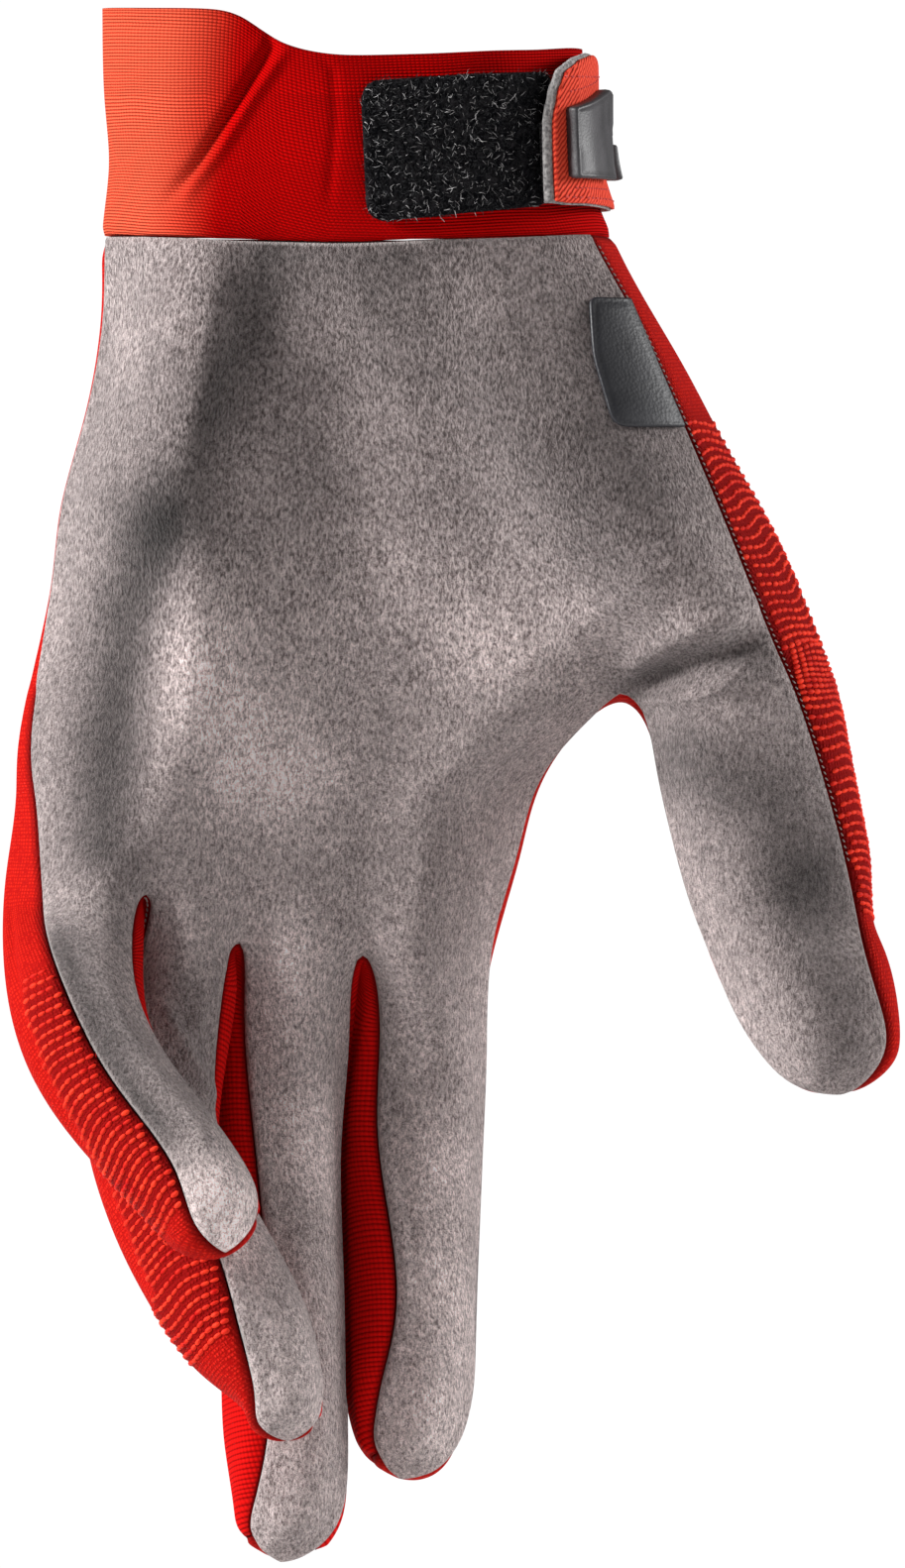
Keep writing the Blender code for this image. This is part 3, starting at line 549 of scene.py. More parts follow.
def glove_cage():
    cage = Cage()
    rows = []
    for number in range(9):
        rows.append(cage.row(wide_row(number), rows[-1] if rows else None, number))
    fork = THUMB_FORK
    cage.points[rows[8][8]] = place(fork.across, fork.front_toward, fork.front_down)
    cage.points[rows[8][14]] = place(fork.across, fork.back_toward, fork.back_down)
    hand_panels = [PALM_PANEL] * 10 + [BACK_PANEL] * 14
    for number in range(8):
        cage.join(rows[number], rows[number + 1], [CUFF_PANEL] * 24 if number < 3 else hand_panels)
    wide = rows[8]
    middle = place(fork.across, fork.mid_toward, fork.mid_down)
    fork_middle = cage.row([middle], [wide[8]], 8)[0]
    upper = wide[:9] + [fork_middle] + wide[14:]
    thumb_root = wide[8:15] + [fork_middle]
    below = [PALM_PANEL] * 8 + [BACK_PANEL] * 12
    for station, points in ((9, narrow_row(9)), (10, narrow_row(10)), (11, finger_row())):
        lower = cage.row(points, upper, station)
        cage.join(upper, lower, below)
        upper = lower
    forks = cage.row([place(*spot) for spot in FORK_MIDDLES], (upper[2], upper[4], upper[6]), 11)
    front, side, rear, little_edge = upper[:9], upper[9], upper[18:9:-1], upper[19]
    edges = [little_edge] + forks + [side]
    gussets = (BACK_PANEL, 3, 4, 5, BACK_PANEL)
    fingers = ((LITTLE, "little"), (RING, "ring"), (MIDDLE, "middle"), (INDEX, "index"))
    for number, (rings, name) in enumerate(fingers):
        at = 2 * number
        root = [front[at], front[at + 1], front[at + 2], edges[number + 1]]
        root += [rear[at + 2], rear[at + 1], rear[at], edges[number]]
        gusset_rings = 2 if name == "ring" else 9
        add_digit(cage, root, rings, TIPS[name], gussets[number + 1], gussets[number], name,
                  gusset_rings)
    add_digit(cage, thumb_root, THUMB, TIPS["thumb"], BACK_PANEL, BACK_PANEL, "thumb")
    return cage


Surface = namedtuple("Surface", "points quads panels digits around along stations")


def numbers_of(layer, kind, count):
    read = np.empty(count, kind)
    layer.data.foreach_get("value", read)
    return read


def smoothed(points, cage, level):
    """The cage's smooth surface at this level, with all that the cage says of its points and quads."""
    mesh = bpy.data.meshes.new("cage")
    mesh.from_pydata([tuple(p) for p in points], [], cage.faces)
    mesh.attributes.new("panel", "INT", "FACE").data.foreach_set("value", cage.panels)
    mesh.attributes.new("digit", "INT", "FACE").data.foreach_set("value", cage.digits)
    mesh.attributes.new("along", "FLOAT", "POINT").data.foreach_set("value", cage.along)
    mesh.attributes.new("station", "FLOAT", "POINT").data.foreach_set("value", cage.stations)
    turns = np.zeros((len(cage.faces) * 4, 2))
    turns[:, 0] = np.array(cage.around).ravel()
    mesh.uv_layers.new(name="around").data.foreach_set("uv", turns.ravel())
    obj = bpy.data.objects.new("cage", mesh)
    bpy.context.scene.collection.objects.link(obj)
    smooth = obj.modifiers.new("smooth", "SUBSURF")
    smooth.levels = smooth.render_levels = level
    graph = bpy.context.evaluated_depsgraph_get()
    evaluated = obj.evaluated_get(graph)
    made = evaluated.to_mesh()
    count, quads = len(made.vertices), len(made.polygons)
    out = np.empty(count * 3)
    made.vertices.foreach_get("co", out)
    corners = np.empty(quads * 4, np.int64)
    made.loops.foreach_get("vertex_index", corners)
    around = np.empty(quads * 8)
    made.uv_layers["around"].data.foreach_get("uv", around)
    surface = Surface(
        out.reshape(-1, 3),
        corners.reshape(-1, 4),
        numbers_of(made.attributes["panel"], np.int32, quads),
        numbers_of(made.attributes["digit"], np.int32, quads),
        around.reshape(-1, 4, 2)[:, :, 0],
        numbers_of(made.attributes["along"], np.float32, count).astype(float),
        numbers_of(made.attributes["station"], np.float32, count).astype(float),
    )
    evaluated.to_mesh_clear()
    bpy.data.objects.remove(obj)
    bpy.data.meshes.remove(mesh)
    return surface


def fitted(cage, rounds=4, pull=0.7):
    """The cage's points, moved out until the smooth surface passes by the listed ones, forks apart."""
    wanted = np.array(cage.points)
    meeting = np.bincount(np.array(cage.faces).ravel(), minlength=len(wanted))
    pulls = np.where(meeting > 4, 0, pull)[:, None]
    points = wanted.copy()
    for _ in range(rounds):
        points += (wanted - smoothed(points, cage, 1).points[:len(points)]) * pulls
    return points


# Geometry shared by the pieces

def normals_of(points, quads):
    """Unit normals of the points, out of the glove."""
    across = points[quads[:, 2]] - points[quads[:, 0]]
    other = points[quads[:, 3]] - points[quads[:, 1]]
    faces = np.cross(across, other)
    total = np.zeros_like(points)
    for corner in range(4):
        np.add.at(total, quads[:, corner], faces)
    return total / np.maximum(np.linalg.norm(total, axis=1), 1e-12)[:, None]


def in_photo(points):
    """The photograph's pixels that the points fall on, seen square from the palm side."""
    return np.stack((PIXEL_ACROSS + points[:, 0] / PIXEL, PIXEL_DOWN - points[:, 2] / PIXEL), axis=1)


def to_line(spots, line):
    """Each spot's distance from a bent line, and its share of the way along it."""
    line = np.array(line, float)
    steps = np.linalg.norm(np.diff(line, axis=0), axis=1)
    starts = np.concatenate(((0.0,), np.cumsum(steps)))
    best = np.full(len(spots), np.inf)
    share = np.zeros(len(spots))
    for number, step in enumerate(steps):
        way = (line[number + 1] - line[number]) / step
        reach = np.clip((spots - line[number]) @ way, 0, step)
        apart = np.linalg.norm(spots - line[number] - reach[:, None] * way, axis=1)
        nearer = apart < best
        best[nearer] = apart[nearer]
        share[nearer] = (starts[number] + reach[nearer]) / starts[-1]
    return best, share


def ramp(values, low, high):
    """0 below low, 1 above high, and a smooth step between them."""
    share = np.clip((values - low) / (high - low), 0, 1)
    return share * share * (3 - 2 * share)


def folds_at(points, normals, folds):
    """Metres that the folds lift each point that faces the palm side."""
    spots = in_photo(points)
    facing = ramp(-normals[:, 1], 0.0, 0.35)
    total = np.zeros(len(points))
    for fold in folds:
        near, share = to_line(spots, fold.line)
        ends = np.clip(np.minimum(share, 1 - share) / 0.16, 0.0, 1.0) if fold.fades else 1.0
        total += fold.height_mm / 1000 * np.exp(-((near / fold.width) ** 2)) * ends
    return total * facing


def pushed_out(points, normals, apart):
    """How points near the seams in EDGES move, square to the view and away from the glove."""
    spots = in_photo(points)
    away = normals * (1, 0, 1)
    away /= np.maximum(np.linalg.norm(away, axis=1), 0.2)[:, None]
    moves = np.zeros_like(points)
    for edge in EDGES:
        near = 1 - ramp(to_line(spots, edge.line)[0], 16, 34)
        reach = edge.reach_mm / 1000 * near * np.exp(-((apart / EDGE_REACH) ** 2))
        farther = reach > np.linalg.norm(moves, axis=1)
        moves[farther] = (away * reach[:, None])[farther]
    return moves


def nap_slant_and_painted_light(spots):
    """Painted light and shade in the suede's colour at each spot: lighter toward the fingers, and the
    bands; 1 where it is neither.
    """
    # painted light: the suede's colour grows up to 45% lighter from the palm's middle toward the fingers
    total = 1 + 0.45 * ramp(spots[:, 1], 480, 640)
    for band in PAINTED_LIGHT_BANDS:
        total *= 1 + band.amount * np.exp(-((to_line(spots, band.line)[0] / band.width) ** 2))
    return total


def border_edges(quads):
    """The directed edges that only one of these quads has, and that quad's number."""
    start = quads.ravel()
    end = np.roll(quads, -1, axis=1).ravel()
    size = int(quads.max()) + 1
    lone = ~np.isin(start * size + end, end * size + start)
    return start[lone], end[lone], np.repeat(np.arange(len(quads)), 4)[lone]


def drawn_in(points, quads, start, end, owner, reach):
    """How each border point moves into its panel, so that a gap stays along the seam."""
    corners = points[quads[owner]]
    normal = np.cross(corners[:, 2] - corners[:, 0], corners[:, 3] - corners[:, 1])
    into = np.cross(normal, points[end] - points[start])
    into /= np.linalg.norm(into, axis=1)[:, None]
    total = np.zeros_like(points)
    met = np.zeros(len(points))
    for side in (start, end):
        np.add.at(total, side, into)
        np.add.at(met, side, 1)
    mean = total / np.maximum(met, 1)[:, None]
    length = np.maximum(np.linalg.norm(mean, axis=1), 0.6)
    return mean / length[:, None] ** 2 * reach


def from_border(points, border):
    """Metres from each point to the nearest border point."""
    tree = KDTree(len(border))
    for number, spot in enumerate(border):
        tree.insert(spot, number)
    tree.balance()
    return np.array([tree.find(spot)[2] for spot in points])


def piece(name, points, faces, looks, node=None, face_looks=None, turns=None, marks=None):
    """A smooth mesh object that rides on the glove's one body."""
    mesh = bpy.data.meshes.new(name)
    mesh.from_pydata(np.asarray(points).tolist(), [], [list(face) for face in faces])
    for look in looks:
        mesh.materials.append(look)
    mesh.polygons.foreach_set("use_smooth", [True] * len(mesh.polygons))
    if face_looks is not None:
        mesh.polygons.foreach_set("material_index", np.asarray(face_looks, np.int32))
    if turns is not None:
        mesh.uv_layers.new(name="cloth").data.foreach_set("uv", np.asarray(turns, np.float32).ravel())
    for key, values in (marks or {}).items():
        mesh.attributes.new(key, "FLOAT", "POINT").data.foreach_set("value", np.asarray(values, np.float32))
    obj = bpy.data.objects.new(name, mesh)
    bpy.context.scene.collection.objects.link(obj)
    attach(obj, "root")
    if node:
        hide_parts(node)
    return obj


def lay(name, made, look, node):
    """A piece of one look from its points, faces and cloth map."""
    points, faces, flat = made
    piece(name, points, faces, [look], node, turns=flat)


# The sewn panels

def seam_shape(apart, panel):
    """Metres that a panel's surface moves near its seam: suede rolls over, the cloth beside it dips."""
    if panel == PALM_PANEL:
        roll = 0.00022 * np.exp(-((apart - 0.0016) / 0.0008) ** 2)
        return roll - 0.00035 * np.exp(-(apart / 0.0004) ** 2)
    dip = -SEAM_DIP * np.exp(-(apart / SEAM_DIP_REACH) ** 2)
    if panel > CUFF_PANEL:
        return 0.5 * dip + GUSSET_BULGE * (1 - np.exp(-(apart / GUSSET_BULGE_REACH) ** 2))
    return dip


def right_of(spots, line):
    """How many pixels each spot is to the right of a line that runs down the photograph."""
    across, down = zip(*line)
    return spots[:, 0] - np.interp(spots[:, 1], down, across)


def knuckle_rows(surface, digit):
    """Where the back's cloth has raised rows: over the knuckles and down the thumb's side."""
    station = surface.stations
    rows = np.zeros(len(station))
    for name, start, end in ROWS:
        share = ramp(station, start, start + 0.5) * (1 - ramp(station, end - 0.4, end))
        rows = np.where(digit == DIGITS[name], share, rows)
    thumb_side = ramp(surface.points[:, 0], 0.040, 0.050) * ramp(station, 5.2, 6.0)
    rows = np.where(digit == DIGITS["hand"], thumb_side, rows)
    spots = in_photo(surface.points)
    inner = (digit == DIGITS["thumb"]) & (right_of(spots, THUMB_INNER) < 0)
    rows = np.where(inner, 0.0, rows)
    bound = ramp(right_of(spots, BINDING), 4, 9)
    rows = np.where(np.isin(digit, (DIGITS["little"], DIGITS["ring"])), rows * bound, rows)
    for edge in EDGES:
        rows = rows * ramp(to_line(spots, edge.line)[0], 14, 24)
    return rows


def digits_of(surface):
    """The digit that each point belongs to."""
    digit = np.zeros(len(surface.points), int)
    digit[surface.quads.ravel()] = np.repeat(surface.digits, 4)
    return digit


def make_panel(number, surface, normals, lining, lining_normals, looks):
    """One sewn panel: outer cloth, the edge that turns in at its seam, and its lining."""
    name = PANELS[number]
    mine = surface.panels == number
    quads = surface.quads[mine]
    start, end, owner = border_edges(quads)
    moved = surface.points + drawn_in(surface.points, quads, start, end, owner, SEAM_GAP / 2)
    used, flat = np.unique(quads, return_inverse=True)
    quads = flat.reshape(-1, 4)
    index = np.full(len(surface.points), -1)
    index[used] = np.arange(len(used))
    points, out = surface.points[used], normals[used]
    apart = from_border(points, surface.points[np.unique(start)])
    sewn = 1 - ramp(points[:, 2], -0.006, -0.003)
    lift = folds_at(points, out, FOLDS) + seam_shape(apart, number) * sewn
    pushed = pushed_out(points, out, apart) * EDGE_SHARES.get(number, 0)
    skin = moved[used] + pushed + out * lift[:, None]
    count = len(used)
    rim = skin - out * WALL
    edge = np.stack((index[end], index[start], index[start] + count, index[end] + count), axis=1)

    inner_quads = lining.quads[lining.panels == number]
    shift = drawn_in(lining.points, inner_quads, *border_edges(inner_quads), SEAM_GAP / 2)
    inner_used, inner_flat = np.unique(inner_quads, return_inverse=True)
    inner, inner_out = lining.points[inner_used], lining_normals[inner_used]
    lift = folds_at(inner, inner_out, FOLDS) - WALL
    inner = inner + shift[inner_used] + inner_out * lift[:, None]
    inner_quads = inner_flat.reshape(-1, 4)[:, ::-1] + 2 * count

    faces = np.vstack((quads, edge, inner_quads))
    cloth = [looks[name], looks.get("lining_" + name, looks["lining"])]
    face_looks = np.repeat((0, 1), (len(quads) + len(edge), len(inner_quads)))
    turns = np.zeros((len(faces), 4, 2))
    turns[:len(quads), :, 0] = surface.around[mine]
    turns[:len(quads), :, 1] = surface.along[surface.quads[mine]]
    digit = digits_of(surface)
    spots = in_photo(points)
    # painted light: share of the cuff painted as its lit copy, left of the line and on the back
    tone_and_painted_light = 1 - ramp(right_of(spots, CUFF_PAINTED_LIGHT_LINE), -45, 40)
    rest = np.zeros(count + len(inner))
    marks = {
        "rows": np.concatenate((knuckle_rows(surface, digit)[used], rest)),
        "apart": np.concatenate((apart, rest + 0.01)),
        "tone_and_painted_light": np.concatenate((np.maximum(tone_and_painted_light, ramp(points[:, 1], 0.0, 0.006)), rest)),
        "nap": np.concatenate((1 - ramp(spots[:, 1], 560, 760) * 0.45, rest)),
        # the palm side's colour carries painted light and shade from the bands
        "nap_slant_and_painted_light": np.concatenate((np.where(out[:, 1] < 0, nap_slant_and_painted_light(spots), 1.0), rest + 1.0)),
    }
    piece(name + "_cloth", np.vstack((skin, rim, inner)), faces.tolist(), cloth, name,
          face_looks, turns, marks)
    return start, end


# Pieces that lie on the cuff and the palm

def from_the_palm_side(tree):
    """A caster that drops points straight onto the glove from in front of the palm."""
    def cast(across, down):
        start = Vector((across * BREADTH / 100, -1.0, -down * LENGTH / 100))
        spot, normal, _, _ = tree.ray_cast(start, Vector((0, 1, 0)))
        return np.array(spot), np.array(normal)
    return cast


def from_round_the_cuff(tree):
    """A caster that drops points onto the cuff, at a turn in degrees from the palm side."""
    def cast(turn, down):
        out = Vector((sin(radians(turn)), -cos(radians(turn)), 0))
        start = out * 1.0 + Vector((0, 0, -down * LENGTH / 100))
        spot, normal, _, _ = tree.ray_cast(start, -out)
        normal = np.array((normal[0], normal[1], 0))
        return np.array(spot), normal / np.linalg.norm(normal)
    return cast


def strap_lift(turn):
    return np.interp(turn, [t.turn for t in STRAP], [t.lift_mm for t in STRAP]) / 1000


def outline(corners, unit_across, reach=0.0, steps=5, longest=0.9):
    """The corners' outline, rounded and moved in by reach mm. It has as many points for any reach."""
    scale = np.array((unit_across, LENGTH * 10))
    spots = [np.array(c[:2]) * scale for c in corners]
    count = len(corners)
    area = sum(spots[k - 1][0] * spots[k][1] - spots[k - 1][1] * spots[k][0] for k in range(count))
    ends, arcs = [], []
    for k, corner in enumerate(corners):
        here = spots[k]
        back, ahead = spots[k - 1] - here, spots[(k + 1) % count] - here
        back, ahead = back / np.linalg.norm(back), ahead / np.linalg.norm(ahead)
        ends.append((here + back * corner[2], here + ahead * corner[2]))
        turn = (ahead[0] * back[1] - ahead[1] * back[0]) * np.sign(area)
        middle = (back + ahead) / np.linalg.norm(back + ahead)
        slant = abs(middle[0] * ahead[1] - middle[1] * ahead[0])
        moved = here + middle * np.sign(turn) * reach / slant
        radius = max(corner[2] - 0.6 * reach, 0.15) if turn > 0 else corner[2]
        shares = [step / steps for step in range(steps + 1)]
        arcs.append([moved + back * radius * (1 - s) ** 2 + ahead * radius * s ** 2 for s in shares])
    made = []
    for k in range(count):
        made += arcs[k]
        after = (k + 1) % count
        length = float(np.linalg.norm(ends[after][0] - ends[k][1]))
        parts = max(1, round(length / longest))
        made += [blend(arcs[k][-1], arcs[after][0], part / parts) for part in range(1, parts)]
    return np.array(made) / scale


def pad(corners, unit_across, cast, lift_of, profile, middle_rings=8):
    """A flat piece of this outline. The profile is mm in from the edge and mm up, from its foot."""
    rings = [(outline(corners, unit_across, reach), up) for reach, up in profile]
    last, top = rings[-1]
    centre = last.mean(axis=0)
    rings += [(blend(last, centre, number / middle_rings), top) for number in range(1, middle_rings)]
    count = len(last)
    spots = [(a, d, up) for ring, up in rings for a, d in ring] + [(*centre, top)]
    points = []
    for a, d, up in spots:
        spot, normal = cast(a, d)
        points.append(spot + normal * (lift_of(a) + up / 1000))
    faces = []
    for at in range(0, (len(rings) - 1) * count, count):
        for k in range(count):
            after = (k + 1) % count
            faces.append((at + k, at + count + k, at + count + after, at + after))
    at = (len(rings) - 1) * count
    faces += [(at + k, len(points) - 1, at + (k + 1) % count) for k in range(count)]
    faces.append(tuple(range(count)))
    flat = [(a * unit_across / 1000, d * LENGTH / 100) for a, d, _ in spots]
    return closed(points, faces, flat)


def volume_of(points, faces):
    total = 0.0
    for face in faces:
        for k in range(1, len(face) - 1):
            total += float(np.dot(points[face[0]], np.cross(points[face[k]], points[face[k + 1]])))
    return total / 6


def closed(points, faces, flat):
    """The points, the faces turned outward, and each face corner's place on the cloth map."""
    points, flat = np.array(points), np.array(flat)
    if volume_of(points, faces) < 0:
        faces = [face[::-1] for face in faces]
    return points, faces, np.concatenate([flat[list(face)] for face in faces])


def strap_layer(cast, start, low_mm, high_mm, drawn, edge=0.3):
    """A layer of the strap from this turn on, between two heights, its long edges drawn in."""
    listed = [tab.turn for tab in STRAP]
    turns = np.concatenate((np.linspace(start, 70, 34), np.linspace(71, STRAP[-1].turn, 74)))
    across = (0, 0.02, 0.05) + tuple(np.linspace(0.1, 0.9, 17)) + (0.95, 0.98, 1)
    points, flat = [], []
    for turn in turns:
        from_end = min(1.0, (turn - start) / 0.7)
        thin = edge * (1 - from_end) ** 2
        top = np.interp(turn - (start - STRAP[0].turn), listed, [t.top for t in STRAP]) + drawn
        foot = np.interp(turn, listed, [t.foot for t in STRAP]) - drawn
        for upper in (True, False):
            for share in across:
                near = min(share, 1 - share) / 0.05
                bend = edge * max(0.0, 1 - near) ** 2 + thin
                height = (high_mm - bend if upper else low_mm + bend * 0.4) / 1000
                down = blend(top, foot, share)
                spot, normal = cast(turn, down)
                points.append(spot + normal * (strap_lift(turn) + height))
                flat.append((turn * TURN_MM / 1000, down * LENGTH / 100))
    wide = len(across)
    around = list(range(wide)) + list(range(2 * wide - 1, wide - 1, -1))
    faces = []
    for at in range(0, (len(turns) - 1) * 2 * wide, 2 * wide):
        for k in range(2 * wide):
            here, after = around[k], around[(k + 1) % (2 * wide)]
            faces.append((at + here, at + after, at + after + 2 * wide, at + here + 2 * wide))
    faces.append(tuple(around[::-1]))
    faces.append(tuple(k + (len(turns) - 1) * 2 * wide for k in around))
    return closed(points, faces, flat)


def blades(name, spots, normals, length, width, look, slot, seed):
    """Short fibres: narrow bent blades that grow from the spots, each its own way."""
    lean, curl = 0.8, 0.6
    chance = np.random.default_rng(seed)
    count = len(spots)
    along = chance.normal(size=(count, 3))
    along -= normals * np.sum(along * normals, axis=1)[:, None]
    along /= np.linalg.norm(along, axis=1)[:, None]
    side = np.cross(normals, along)
    tall = length * chance.uniform(0.45, 1.0, count)[:, None]
    slant = lean * chance.uniform(0.3, 1.2, count)[:, None]
    bend = curl * chance.uniform(-1.0, 1.0, count)[:, None]
    points = []
    for share, thin in ((0.0, 1.0), (0.5, 0.9), (1.0, 0.35)):
        middle = spots + (normals * share * (1 - 0.35 * share) + along * slant * share) * tall
        middle = middle + side * bend * share * share * tall
        for way in (-0.5, 0.5):
            points.append(middle + side * way * width * thin)
    points = np.stack(points, axis=1).reshape(-1, 3)
    first = np.arange(count)[:, None] * 6
    faces = np.concatenate((first + (0, 1, 3, 2), first + (2, 3, 5, 4)))
    return piece(name, points, faces.tolist(), [look])


def beads(name, spots, ways, normals, length, width, look):
    """Stitches: a small rounded bar at each spot, along its way."""
    side = np.cross(normals, ways)
    shares, thick = (-0.5, -0.36, 0.0, 0.36, 0.5), (0.4, 0.85, 1.0, 0.85, 0.4)
    points = []
    for share, wide in zip(shares, thick):
        for k in range(6):
            out = side * cos(pi * k / 3) + normals * sin(pi * k / 3)
            points.append(spots + ways * share * length + out * wide * width / 2)
    points = np.stack(points, axis=1).reshape(-1, 3)
    faces = []
    for first in range(0, len(points), 30):
        for ring in range(4):
            at = first + 6 * ring
            faces += [(at + k, at + (k + 1) % 6, at + 6 + (k + 1) % 6, at + 6 + k) for k in range(6)]
        faces.append(tuple(first + k for k in range(5, -1, -1)))
        faces.append(tuple(first + 24 + k for k in range(6)))
    return piece(name, points, faces, [look])


def knot_rows(name, surface, normals, chosen, border, look):
    """Raised knots on the chosen quads, in staggered and slightly wavy rows across the digit."""
    quads = surface.quads[chosen]
    corners, u, v = surface.points[quads], surface.around[chosen], surface.along[quads]
    middle_u, middle_v = u.mean(axis=1), v.mean(axis=1)
    wave = sum(WAVE_HEIGHT * np.sin(middle_u / long + begin) for long, begin, _ in WAVES)
    slope = sum(steep * np.cos(middle_u / long + begin) for long, begin, steep in WAVES)
    row = np.floor((middle_v + wave) / KNOT_PITCH)
    shift = np.where(row % 2 == 0, 0.0, KNOT_SPACING / 2)
    column = np.floor((middle_u + shift) / KNOT_SPACING)
    off_u = (column + 0.5) * KNOT_SPACING - shift - middle_u
    off_v = (row + 0.5) * KNOT_PITCH - wave - middle_v
    cell = (row + 500) * 4000 + column + 2000
    order = np.lexsort((off_u ** 2 + off_v ** 2, cell))
    first = order[np.concatenate(((True,), np.diff(cell[order]) > 0))]
    corners, u, v, normal = corners[first], u[first], v[first], normals[quads[first]].mean(axis=1)
    over, beyond = corners[:, 2] - corners[:, 0], corners[:, 3] - corners[:, 1]
    over_u, over_v = (u[:, 2] - u[:, 0])[:, None], (v[:, 2] - v[:, 0])[:, None]
    beyond_u, beyond_v = (u[:, 3] - u[:, 1])[:, None], (v[:, 3] - v[:, 1])[:, None]
    size = over_u * beyond_v - beyond_u * over_v
    step_u = (over * beyond_v - beyond * over_v) / size
    step_v = (beyond * over_u - over * beyond_u) / size
    reach = 0.0006
    spots = corners.mean(axis=1) + step_u * np.clip(off_u[first], -reach, reach)[:, None]
    spots = spots + step_v * np.clip(off_v[first], -reach, reach)[:, None]
    ways = step_u - step_v * slope[first][:, None]
    ways /= np.linalg.norm(ways, axis=1)[:, None]
    clear = from_border(spots, border) > KNOT_CLEAR
    spots, ways, normal = spots[clear], ways[clear], normal[clear]
    spots = spots + normal * folds_at(spots, normal, FOLDS)[:, None]
    side = np.cross(normal, ways)
    chance = np.random.default_rng(len(spots))
    girth = chance.uniform(0.8, 1.15, len(spots))[:, None]
    points = []
    for share, wide in ((-0.5, 0.35), (-0.28, 0.9), (0.0, 1.0), (0.28, 0.9), (0.5, 0.35)):
        for k in range(5):
            up = sin(pi * k / 4) * KNOT_HEIGHT - KNOT_SUNK
            out = side * cos(pi * k / 4) * KNOT_WIDTH / 2 + normal * up
            points.append(spots + ways * share * KNOT_SPACING * 0.98 + out * wide * girth)
    points = np.stack(points, axis=1).reshape(-1, 3)
    at = np.arange(len(spots))[:, None] * 25
    firsts = [5 * ring + k for ring in range(4) for k in range(4)]
    faces = [at + (k, k + 1, k + 6, k + 5) for k in firsts]
    return piece(name, points, np.concatenate(faces).tolist(), [look])


def seam_path(surface, start, end, first, last):
    """The points of a panel's border between two spots in the photograph, the shorter way."""
    follow = dict(zip(start.tolist(), end.tolist()))
    spots = in_photo(surface.points)
    border = np.array(sorted(follow))
    nearest = [np.argmin(np.linalg.norm(spots[border] - spot, axis=1)) for spot in (first, last)]
    ends = [int(border[k]) for k in nearest]
    ways = []
    for begin, stop in (ends, ends[::-1]):
        path = [begin]
        while path[-1] != stop and len(path) <= len(follow):
            path.append(follow[path[-1]])
        ways.append(path)
    return np.array(min(ways, key=len))


def evenly(points, normals, pitch):
    """Spots every pitch along a line of points, and the normals there."""
    steps = np.linalg.norm(np.diff(points, axis=0), axis=1)
    reach = np.concatenate(((0.0,), np.cumsum(steps)))
    wanted = np.arange(pitch / 2, reach[-1], pitch)
    return [
        np.stack([np.interp(wanted, reach, values[:, axis]) for axis in range(3)], axis=1)
        for values in (points, normals)
    ]


def stitched(name, surface, normals, border, ends, pitch, length, width, into, look, slant=0.0):
    """A row of stitches along a seam, into metres on the panel's own side of it."""
    start, end = border
    path = seam_path(surface, start, end, *ends)
    spots, out = evenly(surface.points[path], normals[path], pitch)
    out /= np.linalg.norm(out, axis=1)[:, None]
    ways = np.gradient(spots, axis=0)
    ways -= out * np.sum(ways * out, axis=1)[:, None]
    ways /= np.linalg.norm(ways, axis=1)[:, None]
    inward = np.cross(out, ways)
    if dict(zip(start.tolist(), end.tolist())).get(int(path[0])) != int(path[1]):
        inward = -inward
    spots = spots + inward * into + out * 0.00002
    turned = ways * cos(slant) + inward * sin(slant)
    return beads(name, spots, turned, out, length, width, look)


# Materials

